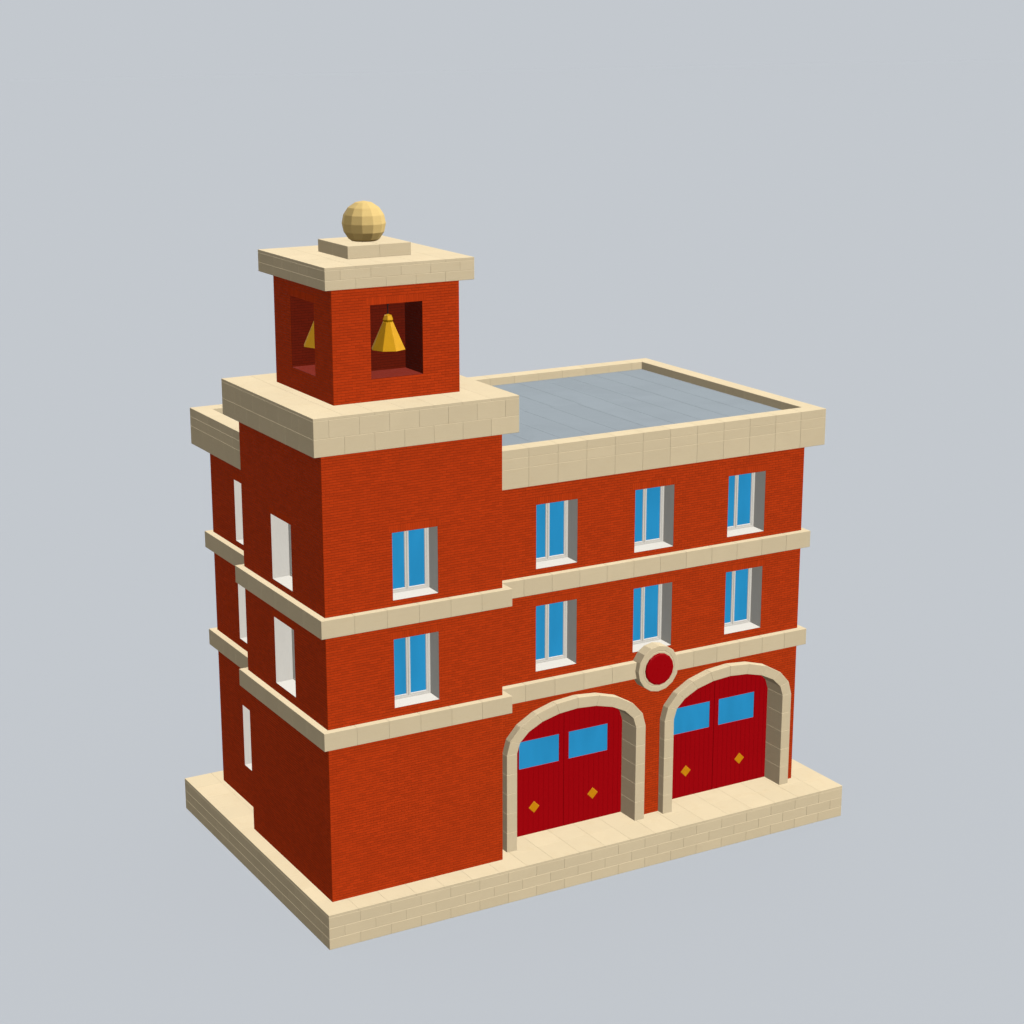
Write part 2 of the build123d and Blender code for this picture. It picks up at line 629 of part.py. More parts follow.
def bell(turn):
    """Eight-sided bell with its knob, stem and eye, and the clapper inside."""
    x, y = niche_point(turn)
    crown = BELL_LIP_Z + BELL_H
    bell_cone(x, y, 0)
    bell_cone(x, y, BELL_WALL, Mode.SUBTRACT)
    knob_z = crown - KNOB_SINK + KNOB_R
    faceted_ball((x, y, knob_z), KNOB_R, KNOB_SEGMENTS, KNOB_RINGS)
    with BuildSketch(Plane((x, y, knob_z))) as stem:
        Circle(STEM_R)
    extrude(stem.sketch, amount=PIVOT_Z - knob_z)
    with BuildSketch(cross_plane(turn, -BELL_EYE_T / 2)) as eye:
        with Locations((0, PIVOT_Z)):
            Circle(BELL_EYE_R)
    extrude(eye.sketch, amount=-BELL_EYE_T)
    with BuildSketch(cross_plane(turn, -BELL_EYE_T / 2)) as bore:
        with Locations((0, PIVOT_Z)):
            Circle(BELL_PIN_R + PIN_FIT)
    extrude(bore.sketch, amount=-BELL_EYE_T, mode=Mode.SUBTRACT)
    clapper_z = BELL_LIP_Z + CLAPPER_GAP + CLAPPER_R
    with BuildSketch(Plane((x, y, clapper_z))) as rod:
        Circle(CLAPPER_ROD_R)
    extrude(rod.sketch, amount=crown - clapper_z)
    with Locations((x, y, clapper_z)):
        Sphere(CLAPPER_R)


for facing, turn in QUARTER_TURNS.items():
    with BuildPart() as hung_bell:
        bell(turn)
    export(hung_bell.part, f"{facing}_bell")


def hanger(turn):
    """Ceiling plate of a niche with two lugs and the pin that carries the bell."""
    lug_in = BELL_EYE_T / 2 + LUG_GAP
    with BuildSketch(cross_plane(turn, -HANGER_D / 2)) as plate:
        span((-HANGER_W / 2, HANGER_W / 2), (NICHE_TOP - HANGER_T, NICHE_TOP))
    extrude(plate.sketch, amount=-HANGER_D)
    for inwards in (-lug_in - LUG_T, lug_in):
        with BuildSketch(cross_plane(turn, inwards)) as lug:
            span((-BELL_EYE_R, BELL_EYE_R), (PIVOT_Z, NICHE_TOP))
            with Locations((0, PIVOT_Z)):
                Circle(BELL_EYE_R)
        extrude(lug.sketch, amount=-LUG_T)
    with BuildSketch(cross_plane(turn, -lug_in)) as pin:
        with Locations((0, PIVOT_Z)):
            Circle(BELL_PIN_R)
    extrude(pin.sketch, amount=-2 * lug_in)


with BuildPart() as bell_hangers:
    for turn in QUARTER_TURNS.values():
        hanger(turn)
export(bell_hangers.part, "bell_hangers")
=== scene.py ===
from math import cos, pi, radians, sin

import bmesh
import bpy
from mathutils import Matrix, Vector


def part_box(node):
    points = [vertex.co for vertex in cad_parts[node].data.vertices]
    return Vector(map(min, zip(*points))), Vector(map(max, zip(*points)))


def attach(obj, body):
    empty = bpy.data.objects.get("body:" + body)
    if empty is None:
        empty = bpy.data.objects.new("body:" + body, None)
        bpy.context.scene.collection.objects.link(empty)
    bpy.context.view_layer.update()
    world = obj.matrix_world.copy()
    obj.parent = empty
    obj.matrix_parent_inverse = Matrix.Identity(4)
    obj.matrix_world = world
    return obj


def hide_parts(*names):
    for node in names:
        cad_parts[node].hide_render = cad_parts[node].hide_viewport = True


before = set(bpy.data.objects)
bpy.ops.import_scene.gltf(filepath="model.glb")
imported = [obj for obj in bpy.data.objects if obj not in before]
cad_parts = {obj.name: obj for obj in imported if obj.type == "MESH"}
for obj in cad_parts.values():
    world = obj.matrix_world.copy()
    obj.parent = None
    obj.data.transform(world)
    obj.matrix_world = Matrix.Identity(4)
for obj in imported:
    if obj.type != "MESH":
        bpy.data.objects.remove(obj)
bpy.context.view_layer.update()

# Fire station of red brick with cream stone dressings. Metres, +Z up, the engine bays face -Y.

# ---- sizes
TOUCH = 0.0005  # two places nearer than this are the same
WELD, FLAT = 0.0001, radians(0.5)  # CAD corners nearer, and CAD faces that turn less, are one
FACES_OUT = 0.99  # share of a normal along an axis, for a face that looks that way
BRICK_L, COURSE_H = 0.225, 0.075  # stretcher and course, each with its joint
JOINT, BRICK_PROUD = 0.005, 0.005  # half a joint, and how far a brick stands out of it
CLOSER = 0.06  # shortest cut brick beside an opening
SOLDIER_W, SOLDIER_COURSES = 0.075, 3
SOLDIER_LAP = 1.5  # soldiers past each side of an opening
STONE_L, ARRIS = 0.95, 0.007  # length of a stone, and the chamfer on its edges
FLAG_L, FLAG_T, FLAG_ARRIS = 0.9, 0.08, 0.005
TILE_L, TILE_T, TILE_ARRIS = 0.15, 0.008, 0.002
PLINTH_WALL, PLINTH_COURSES, CORNICE_COURSES = 0.45, 3, 2
BALL_ARRIS = 0.006
SURROUND_W = 0.35
SURROUND_CLEAR = 0.05  # cuts each surround from the other one this far outside it
JAMB_STONES, VOUSSOIRS = 5, 10
MEDALLION_GRIP = 0.55  # the lower band's last stones run this near the medallion's middle
RING_EDGE, DISC_EDGE = 0.012, 0.004
RING_STEPS = ((0.135, 0), (0.008, -0.007), (0.012, 0), (0.008, 0.007))  # widths and depths, inwards
DISC_STEPS = ((0.022, 0), (0.014, 0.009))
SHEET_W, SHEET_T, SHEET_ARRIS = 1.0, 0.006, 0.002
LAP_W, LAP_T, LAP_ARRIS = 0.09, 0.004, 0.0015
LAP_SUNK = 0.001  # how far a lap is pressed into the sheets
CASEMENT_GAP, CASEMENT_GAP_D = 0.004, 0.006
SASH_SLOPE, SASH_FALL = 0.012, 0.010  # each sash bar slopes down to the glass
SASH_LIP, SASH_LIP_D = 0.003, 0.004
FRAME_PLAY = 0.016  # a frame is this much thinner than its CAD solid
SILL_T, SILL_FALL, SILL_NOSE = 0.022, 0.016, 0.004
LEAF_LAP = 0.05  # how far a leaf laps behind the surround
BOARD_T, BOARD_W, BOARD_ARRIS = 0.05, 0.175, 0.005
BOARD_PLAY, LEDGE_ARRIS = 0.0004, 0.006  # play between the boards and the ledges behind them
FOOT_STRIP_H, FOOT_STRIP_ARRIS = 0.008, 0.001
BEAD_W, BEAD_T, BEAD_SLOPE = 0.016, 0.005, 0.003
PLATE_SHARE = 0.905  # of the reach of the plate's CAD solid
HEAD_SIDES, HEAD_CROWN = 12, 0.45  # sides of a screw or bolt head, and the share of it that stays flat
SCREW_R, SCREW_H, SCREW_IN = 0.011, 0.004, 0.045
BOLT_R, BOLT_H = 0.016, 0.009
BOLTS_AT = (0.1, 0.42, 0.74)  # along a strap hinge, from its tip
STRAP_T, STRAP_ARRIS = 0.01, 0.0015
BELL_EDGE, BELL_FACET = 0.004, 0.05  # edges longer than the second are eased by the first
IRON_REACH = 0.06  # the stem, eye and clapper of a bell keep this near its axis

TURNS = {"front": 0, "right": 90, "back": 180, "left": 270}


# ---- working in edit mode
def alone(piece):
    """Makes a piece the only one selected, and the active one."""
    bpy.ops.object.select_all(action="DESELECT")
    piece.select_set(True)
    bpy.context.view_layer.objects.active = piece


def edit(piece):
    """Opens a piece in edit mode with nothing selected."""
    alone(piece)
    bpy.ops.object.mode_set(mode="EDIT")
    bpy.ops.mesh.select_all(action="DESELECT")


def leave():
    """Closes edit mode."""
    bpy.ops.object.mode_set(mode="OBJECT")


def pick(kind, test):
    """Selects only the faces, edges or verts that pass a test."""
    mesh = bpy.context.edit_object.data
    bpy.context.tool_settings.mesh_select_mode = [kind == k for k in ("verts", "edges", "faces")]
    bpy.ops.mesh.select_all(action="DESELECT")
    shape = bmesh.from_edit_mesh(mesh)
    found = [item for item in getattr(shape, kind) if test(item)]
    for item in found:
        item.select_set(True)
    shape.select_flush_mode()
    bmesh.update_edit_mesh(mesh)
    return len(found)


def pick_all():
    """Selects the whole mesh."""
    bpy.ops.mesh.select_all(action="SELECT")


def middle(face):
    """Middle of a face."""
    return face.calc_center_median()


def in_front(face, y):
    """True for a face that looks along -Y at one depth."""
    return face.normal.y < -FACES_OUT and abs(middle(face).y - y) < TOUCH


def sharp(edge, degrees):
    """True for an edge whose two faces turn by more than this."""
    return edge.is_manifold and edge.calc_face_angle() > radians(degrees)


def ease(offset, segments=1):
    """Bevels the edges that are selected."""
    bpy.ops.mesh.bevel(offset=offset, segments=segments, affect="EDGES")


def drop(kind):
    """Deletes the faces or verts that are selected."""
    bpy.ops.mesh.delete(type=kind)


def step_in(steps, each=False):
    """Insets the selected faces again and again, by a width and a depth each time."""
    for width, depth in steps:
        bpy.ops.mesh.inset(use_individual=each, thickness=width, depth=depth)


def cut(point, normal, **options):
    """Cuts what is selected with a plane."""
    bpy.ops.mesh.bisect(plane_co=point, plane_no=normal, **options)


def settle(piece=None):
    """Puts a piece's place, turn and size into its mesh; the active piece unless another is given."""
    piece = piece or bpy.context.object
    alone(piece)
    bpy.ops.object.transform_apply(location=True, rotation=True, scale=True)
    return piece


def join(name, parts):
    """Joins pieces into one, named, with its place in its mesh."""
    bpy.ops.object.select_all(action="DESELECT")
    for part in parts:
        part.select_set(True)
    bpy.context.view_layer.objects.active = parts[0]
    if len(parts) > 1:
        bpy.ops.object.join()
    whole = settle()
    whole.name = whole.data.name = name
    return whole


def copy_of(piece):
    """Copy of a piece with its own mesh."""
    twin = piece.copy()
    twin.data = piece.data.copy()
    twin.parent = None
    for key in list(twin.keys()):
        del twin[key]
    bpy.context.scene.collection.objects.link(twin)
    return twin


def cad_copy(node):
    """Copy of a CAD node's shape, its triangles merged back into flat faces."""
    piece = copy_of(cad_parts[node])
    piece.data.materials.clear()
    edit(piece)
    pick_all()
    bpy.ops.mesh.remove_doubles(threshold=WELD)
    bpy.ops.mesh.dissolve_limited(angle_limit=FLAT)
    leave()
    bpy.ops.mesh.customdata_custom_splitnormals_clear()
    bpy.ops.object.shade_flat()
    return piece


def islands(node):
    """Low and high corners of every separate solid in a CAD node."""
    alone(cad_copy(node))
    bpy.ops.mesh.separate(type="LOOSE")
    boxes = []
    for solid in bpy.context.selected_objects:
        corners = [v.co for v in solid.data.vertices]
        boxes.append(tuple(Vector(limit(c[i] for c in corners) for i in range(3)) for limit in (min, max)))
    bpy.ops.object.delete()
    return sorted(boxes, key=lambda b: [round(v, 3) for v in b[0]])


def levels(node, axis):
    """Every distinct place of a CAD node's corners along one axis, from the lowest up."""
    return sorted({round(v.co[axis], 4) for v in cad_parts[node].data.vertices})


def repeat(piece, count, step):
    """Row of copies of a piece at an even step."""
    alone(piece)
    if count > 1:
        row = piece.modifiers.new("row", "ARRAY")
        row.use_relative_offset, row.use_constant_offset = False, True
        row.constant_offset_displace = step
        row.count = count
        bpy.ops.object.modifier_apply(modifier=row.name)
    return piece


def mount(piece, finish, body="building", replaces=()):
    """Gives a finished piece its material, its body and what it stands for."""
    if not piece.data.materials:
        piece.data.materials.append(finish)
    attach(piece, body)
    if replaces:
        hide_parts(*replaces)
    return piece


# ---- materials
def link(tree, a, b):
    """Joins two sockets of a node tree."""
    tree.links.new(a, b)


def new_node(tree, kind):
    """New shader node in a tree."""
    return tree.nodes.new(f"ShaderNode{kind}")


class Graph:
    """Node material built step by step; every pattern is laid out on Object coordinates."""

    def __init__(self, name):
        self.material = bpy.data.materials.new(name)
        self.material.use_nodes = True
        self.tree = self.material.node_tree
        self.shader = self.tree.nodes["Principled BSDF"]
        self.place = self.add("TexCoord").outputs["Object"]

    def add(self, kind, settings=(), **values):
        """New node, with its settings and what goes into its sockets."""
        node = new_node(self.tree, kind)
        for key, value in dict(settings).items():
            setattr(node, key, value)
        self.feed(node, values)
        return node

    def put(self, socket, value):
        """Feeds a socket, or sets it."""
        if isinstance(value, bpy.types.NodeSocket):
            link(self.tree, value, socket)
        else:
            socket.default_value = value

    def feed(self, node, values):
        """Feeds or sets a node's sockets by their names."""
        for key, value in values.items():
            self.put(node.inputs[key.replace("_", " ")], value)

    def finished(self, colour, rough, relief, **values):
        """The material, once the shader's own sockets are fed or set."""
        self.feed(self.shader, {"Base Color": colour, "Roughness": rough, "Normal": relief, **values})
        return self.material

    def stretched(self, factors):
        """Object coordinates with each axis stretched."""
        return self.add("Mapping", Vector=self.place, Scale=factors).outputs["Vector"]

    def noise(self, scale, detail=4.0, roughness=0.55, where=None):
        """Soft noise; scale is in patches to the metre."""
        node = self.add("TexNoise", Vector=where or self.place, Scale=scale, Detail=detail,
                        Roughness=roughness)
        return node.outputs["Fac"]

    def ranged(self, value, low, high, to_low, to_high):
        """A value moved from one range to another, and held inside it."""
        node = self.add("MapRange")
        for socket, number in zip(node.inputs, (value, low, high, to_low, to_high)):
            self.put(socket, number)
        return node.outputs["Result"]

    def blend(self, share, first, second):
        """First colour where share is 0, second where it is 1."""
        node = self.add("Mix", {"data_type": "RGBA"})
        for index, value in ((0, share), (6, first), (7, second)):
            self.put(node.inputs[index], value)
        return node.outputs[2]

    def mottled(self, base, patch, scale, low, high, share, detail=4.0):
        """Base colour with up to a share of another, where a soft noise goes from low to high."""
        return self.blend(self.ranged(self.noise(scale, detail), low, high, 0, share), base, patch)

    def uneven(self, scale, low, high):
        """Roughness that wanders between two values."""
        return self.ranged(self.noise(scale), 0.3, 0.7, low, high)

    def per_piece(self, first, second):
        """A tone of its own, between two colours, for each stone or brick."""
        own = self.add("NewGeometry").outputs["Random Per Island"]
        return self.blend(own, first, second)

    def pitted(self, scale, reach):
        """Small pits or pores."""
        pits = self.add("TexVoronoi", Vector=self.place, Scale=scale).outputs["Distance"]
        return self.bump(self.ranged(pits, 0, reach, 0, 1), 0.0012)

    def bump(self, height, distance, below=None):
        """Relief; distance is its depth in metres."""
        node = self.add("Bump", Height=height, Distance=distance, Strength=1.0)
        if below:
            link(self.tree, below, node.inputs["Normal"])
        return node.outputs["Normal"]


def rgb(r, g, b):
    """Opaque colour."""
    return (r, g, b, 1.0)


def shaded(colour, factor):
    """The same colour, lighter or darker."""
    return rgb(*(min(1.0, c * factor) for c in colour[:3]))


RED = rgb(0.69, 0.059, 0.0062)
# Painted shade: the brick lining the belfry niches takes this darker red, which stands in for the shade
# inside the recesses.
NICHE_SHADE_RED = rgb(0.18, 0.0135, 0.003)
CREAM = rgb(0.905, 0.74, 0.475)
SAND = rgb(0.865, 0.62, 0.235)
SLATE = rgb(0.328, 0.376, 0.409)
WHITE = rgb(0.945, 0.895, 0.80)
DOOR_RED = rgb(0.49, 0.0025, 0.006)
GLASS_BLUE = rgb(0.033, 0.40, 0.80)
GOLD = rgb(0.95, 0.37, 0.004)
BRASS = rgb(0.76, 0.375, 0.004)
IRON = rgb(0.035, 0.033, 0.032)
CONCRETE = rgb(0.42, 0.40, 0.37)


def fired_brick(name, colour):
    """Brick faces, each burnt a little differently, with pits, a sandy grain and painted shade on the
    upward-facing ledges.
    """
    g = Graph(name)
    burnt = g.per_piece(shaded(colour, 0.90), shaded(colour, 1.08))
    cloudy = g.mottled(burnt, shaded(colour, 0.88), 0.7, 0.35, 0.7, 0.35)
    speckled = g.mottled(cloudy, shaded(colour, 0.72), 55, 0.58, 0.75, 0.35, 6)
    # Painted shade: faces that look upward, the ledges beside the joints, are darkened by their normal, since
    # the lamps cast no shadow into the joints.
    normal = g.add("NewGeometry").outputs["True Normal"]
    rise = g.add("SeparateXYZ", Vector=normal).outputs["Z"]
    ledge_painted_shade = g.blend(g.ranged(rise, 0.2, 0.5, 0, 0.85), speckled, shaded(colour, 0.1))
    relief = g.bump(g.noise(160, 5), 0.0008, g.pitted(95.0, 0.35))
    return g.finished(ledge_painted_shade, g.uneven(30, 0.78, 0.92), relief, Specular_IOR_Level=0.08)


def bonded_brick(name, colour):
    """The wall behind the brick faces: joints outside, and plain brickwork on the inside."""
    g = Graph(name)
    flat = g.add("CombineXYZ")
    split = g.add("SeparateXYZ", Vector=g.place)
    across = g.add("Math", {"operation": "ADD"})
    g.put(across.inputs[0], split.outputs["X"])
    g.put(across.inputs[1], split.outputs["Y"])
    g.put(flat.inputs["X"], across.outputs[0])
    g.put(flat.inputs["Y"], split.outputs["Z"])
    bond = g.add("TexBrick", Vector=flat.outputs[0], Scale=1.0, Brick_Width=BRICK_L,
                 Row_Height=COURSE_H, Mortar_Size=JOINT, Mortar_Smooth=0.3, Mortar=shaded(colour, 0.6),
                 Color1=shaded(colour, 0.95), Color2=shaded(colour, 0.8))
    soft = g.mottled(bond.outputs["Color"], shaded(colour, 0.65), 3, 0.3, 0.7, 0.25)
    joints = g.bump(g.ranged(bond.outputs["Fac"], 0, 1, 1, 0), 0.004)
    relief = g.bump(g.noise(120, 5), 0.001, joints)
    return g.finished(soft, 0.9, relief, Specular_IOR_Level=0.08)


def dressed_stone(name, colour, grain=70.0, gloss=0.15):
    """Sawn stone: each block its own tone, faint clouds and beds, a fine grain and small pores."""
    g = Graph(name)
    tone = g.per_piece(shaded(colour, 0.965), shaded(colour, 1.025))
    clouds = g.mottled(tone, shaded(colour, 0.93), 1.1, 0.4, 0.75, 0.5)
    beds = g.noise(2.5, 6, 0.6, g.stretched((1, 1, 9)))
    bed_colour = rgb(colour[0] * 0.93, colour[1] * 0.88, colour[2] * 0.8)
    bedded = g.blend(g.ranged(beds, 0.52, 0.7, 0, 0.3), clouds, bed_colour)
    fine = g.mottled(bedded, shaded(colour, 0.8), grain, 0.55, 0.75, 0.25, 6)
    relief = g.bump(g.noise(grain * 2, 5), 0.0008, g.pitted(grain, 0.25))
    return g.finished(fine, g.uneven(8, 0.72, 0.88), relief, Specular_IOR_Level=gloss)


def painted(name, colour, rough, brushed=(60, 60, 4), gloss=0.15, chalk=0.9):
    """Brushed paint: slight streaks along the brush, a little chalking and uneven gloss."""
    g = Graph(name)
    streaks = g.noise(1.0, 5, 0.6, g.stretched(brushed))
    tone = g.blend(g.ranged(streaks, 0.35, 0.7, 0, 0.5), colour, shaded(colour, chalk))
    faded = g.mottled(tone, shaded(colour, chalk), 0.9, 0.4, 0.75, 0.4)
    relief = g.bump(streaks, 0.0006, g.bump(g.noise(90, 3), 0.0003))
    return g.finished(faded, g.uneven(12, rough - 0.06, rough + 0.08), relief, Specular_IOR_Level=gloss)


def sheet_glass(name, colour):
    """Deep blue glass: drawn sheet with a faint ripple and a trace of dust in patches."""
    g = Graph(name)
    ripple = g.noise(1.6, 2, 0.4, g.stretched((1, 1, 0.35)))
    tone = g.blend(g.ranged(ripple, 0.35, 0.65, 0, 1), shaded(colour, 0.94), shaded(colour, 1.05))
    dusty = g.ranged(g.noise(9), 0.35, 0.75, 0.04, 0.12)
    return g.finished(tone, dusty, g.bump(ripple, 0.004), Specular_IOR_Level=0.18, IOR=1.5)


def cast_metal(name, colour, metallic, rough, tarnish=0.7, gloss=0.25):
    """Metal with fine turning marks, tarnish in patches and uneven polish."""
    g = Graph(name)
    marks = g.noise(4.0, 6, 0.6, g.stretched((3, 3, 40)))
    tone = g.mottled(colour, shaded(colour, tarnish), 5, 0.45, 0.7, 0.55, 5)
    polish = g.ranged(marks, 0.3, 0.7, rough - 0.07, rough + 0.1)
    relief = g.bump(marks, 0.0004, g.bump(g.noise(140, 3), 0.0003))
    return g.finished(tone, polish, relief, Metallic=metallic, Specular_IOR_Level=gloss)


def rolled_sheet(name, colour):
    """Mineral roof sheet: granules, pale bloom and darker rings where water stands."""
    g = Graph(name)
    tone = g.per_piece(shaded(colour, 0.97), shaded(colour, 1.03))
    pools = g.mottled(tone, shaded(colour, 0.88), 0.5, 0.5, 0.62, 0.35, 3)
    bloom = g.mottled(pools, shaded(colour, 1.08), 4, 0.5, 0.75, 0.4, 6)
    grit = g.noise(260, 3)
    gritty = g.blend(g.ranged(grit, 0.5, 0.7, 0, 0.35), bloom, shaded(colour, 0.75))
    return g.finished(gritty, 0.85, g.bump(grit, 0.001), Specular_IOR_Level=0.3)


def floated_concrete(name, colour):
    """Smooth concrete with trowel marks and hairline shading."""
    g = Graph(name)
    tone = g.mottled(shaded(colour, 1.04), shaded(colour, 0.86), 1.5, 0.35, 0.7, 1, 6)
    return g.finished(tone, g.uneven(6, 0.7, 0.9), g.bump(g.noise(25, 6), 0.0015))


BRICK = fired_brick("red brick", RED)
# Brick for the niche linings, darkened as painted shade.
NICHE_SHADE_BRICK = fired_brick("dark red brick", NICHE_SHADE_RED)
WALLING = bonded_brick("brick wall and joints", RED)
STONE = dressed_stone("cream stone", CREAM)
BALL_STONE = dressed_stone("golden sandstone", SAND, 45.0)
TILE = dressed_stone("quarry tile", rgb(0.24, 0.021, 0.009), 90.0, 0.05)
PAINT = painted("white paint", WHITE, 0.45)
DOOR_PAINT = painted("red door paint", DOOR_RED, 0.42, gloss=0.07)
ENAMEL = painted("red enamel", DOOR_RED, 0.3, (8, 8, 8), gloss=0.1, chalk=0.95)
GLASS = sheet_glass("blue glass", GLASS_BLUE)
PLATE_BRASS = cast_metal("gilt brass", GOLD, 0.12, 0.48, tarnish=0.85)
BELL_BRASS = cast_metal("bell brass", BRASS, 0.15, 0.48, tarnish=0.85, gloss=0.18)
BLACK_IRON = cast_metal("black iron", IRON, 0.8, 0.55)
ROOFING = rolled_sheet("roof sheet", SLATE)
PLASTER = floated_concrete("concrete", CONCRETE)


# ---- stones
def squared(low, high):
    """Squared block between two corners, in edit mode with all of it selected."""
    low, high = Vector(low), Vector(high)
    bpy.ops.mesh.primitive_cube_add(size=1, location=(low + high) / 2, scale=high - low)
    solid = settle()
    edit(solid)
    pick_all()
    return solid


def block(low, high, arris=ARRIS):
    """One squared stone between two corners, with its arrises taken off."""
    stone = squared(low, high)
    ease(arris)
    leave()
    return stone


def moved(corner, axis, place):
    """Copy of a corner, moved to a place along one axis."""
    corner = Vector(corner)
    corner[axis] = place
    return corner


def row(low, high, axis, count, arris=ARRIS):
    """Row of like stones that fills a box along one axis."""
    low, high = Vector(low), Vector(high)
    step = moved((0, 0, 0), axis, (high[axis] - low[axis]) / count)
    first = moved(high, axis, low[axis] + step[axis])
    return repeat(block(low, first, arris), count, step)


def courses(low, high, axis, heights):
    """Courses of stones with broken joints, from the lowest up."""
    rows, foot = [], low[2]
    for level, height in enumerate(heights):
        a, b = Vector((low[0], low[1], foot)), Vector((high[0], high[1], foot + height))
        foot += height
        count = max(1, round((b[axis] - a[axis]) / STONE_L))
        if level % 2 == 0 or count < 2:
            rows.append(row(a, b, axis, count))
            continue
        half = (b[axis] - a[axis]) / count / 2
        near, far = a[axis] + half, b[axis] - half
        rows.append(block(a, moved(b, axis, near)))
        rows.append(row(moved(a, axis, near), moved(b, axis, far), axis, count - 1))
        rows.append(block(moved(a, axis, far), b))
    return rows


def ring(low, high, thick, count):
    """Courses of stones round a box, up to its flags; the front and back rows take the corners."""
    heights = [(high.z - low.z - FLAG_T) / count] * count
    near, far = low.y + thick, high.y - thick
    return [
        *courses(low, (high.x, near), 0, heights),
        *courses((low.x, far, low.z), high, 0, heights),
        *courses((low.x, near, low.z), (low.x + thick, far), 1, heights),
        *courses((high.x - thick, near, low.z), (high.x, far), 1, heights),
    ]


def paving(low, high, length=FLAG_L, arris=FLAG_ARRIS):
    """Flags in straight rows both ways over a box."""
    low, high = Vector(low), Vector(high)
    across, along = (max(1, round((high[i] - low[i]) / length)) for i in (0, 1))
    step = (high.y - low.y) / along
    first = Vector((high.x, low.y + step, high.z))
    return repeat(row(low, first, 0, across, arris), along, (0, step, 0))


# ---- places
back, upper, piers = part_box("back_wall"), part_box("front_upper_wall"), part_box("front_piers")
main_low = Vector((back[0].x, upper[0].y, piers[0].z))
main_high = Vector((back[1].x, back[1].y, upper[1].z))
tower_low, tower_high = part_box("tower_front_wall")[0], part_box("tower_front_wall")[1].copy()
tower_high.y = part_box("tower_left_wall")[1].y
floor_z, spring_z = main_low.z, piers[1].z
string_1, string_2 = (tuple(c.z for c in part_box(n)) for n in ("lower_string_course", "upper_string_course"))
roof_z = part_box("roof_slab")[1].z
arches = islands("door_surrounds")
bays = sorted({round((a.x + b.x) / 2, 4) for a, b in arches})
surround_half, surround_high = (arches[0][1].x - arches[0][0].x) / 2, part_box("door_surrounds")[1]
linings, sashes, lights = islands("window_linings"), islands("window_frames"), islands("window_glass")
lining_t = (linings[0][1].z - linings[0][0].z - sashes[0][1].z + sashes[0][0].z) / 2
window_w, light_w = (max(b.x - a.x, b.y - a.y) for a, b in (sashes[0], lights[0]))
frame_bar = (window_w - 2 * light_w) / 3
rows_z = sorted({(round(a.z + lining_t, 4), round(b.z - lining_t, 4)) for a, b in linings})
belfry_low, belfry_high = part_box("belfry")
belfry_middle, belfry_half = (belfry_low + belfry_high) / 2, (belfry_high.x - belfry_low.x) / 2
niche_depth = levels("belfry", 0)[1] - belfry_low.x
niche_half = belfry_middle.x - levels("belfry", 0)[2]
niche_low, niche_top = levels("belfry", 2)[1:3]


# ---- brick faces
def facing(turn):
    """Unit vectors along a wall and out of it, for a wall turned about +Z, in degrees."""
    c, s = round(cos(radians(turn))), round(sin(radians(turn)))
    return Vector((c, s, 0)), Vector((s, -c, 0))


def bands(low, high, holes):
    """Heights between stone courses, split at the sills and heads of the windows and niches."""
    cuts = [*rows_z, *((foot, head) for a, b, foot, head in holes)]
    between = {round(z, 4) for pair in cuts for z in pair if low + TOUCH < z < high - TOUCH}
    lines = [low, *sorted(between), high]
    return list(zip(lines, lines[1:]))


def strip(left, right, count, low, high):
    """One course of joined brick outlines in the local elevation, which faces -Y."""
    bpy.ops.mesh.primitive_grid_add(x_subdivisions=count, y_subdivisions=1, size=1, rotation=(pi / 2, 0, 0),
                                    location=((left + right) / 2, 0, (low + high) / 2))
    bpy.context.object.scale = (right - left, high - low, 1)
    return settle()


def holes_in(turn, face):
    """Window openings in one wall, as limits along it and up it; the bricks cover the linings' edges."""
    along, out = facing(turn)
    found = []
    for low, high in linings:
        if abs(max(low.dot(out), high.dot(out)) - face) < TOUCH:
            near, far = sorted((low.dot(along), high.dot(along)))
            found.append((near + lining_t, far - lining_t, low.z + lining_t, high.z - lining_t))
    return found


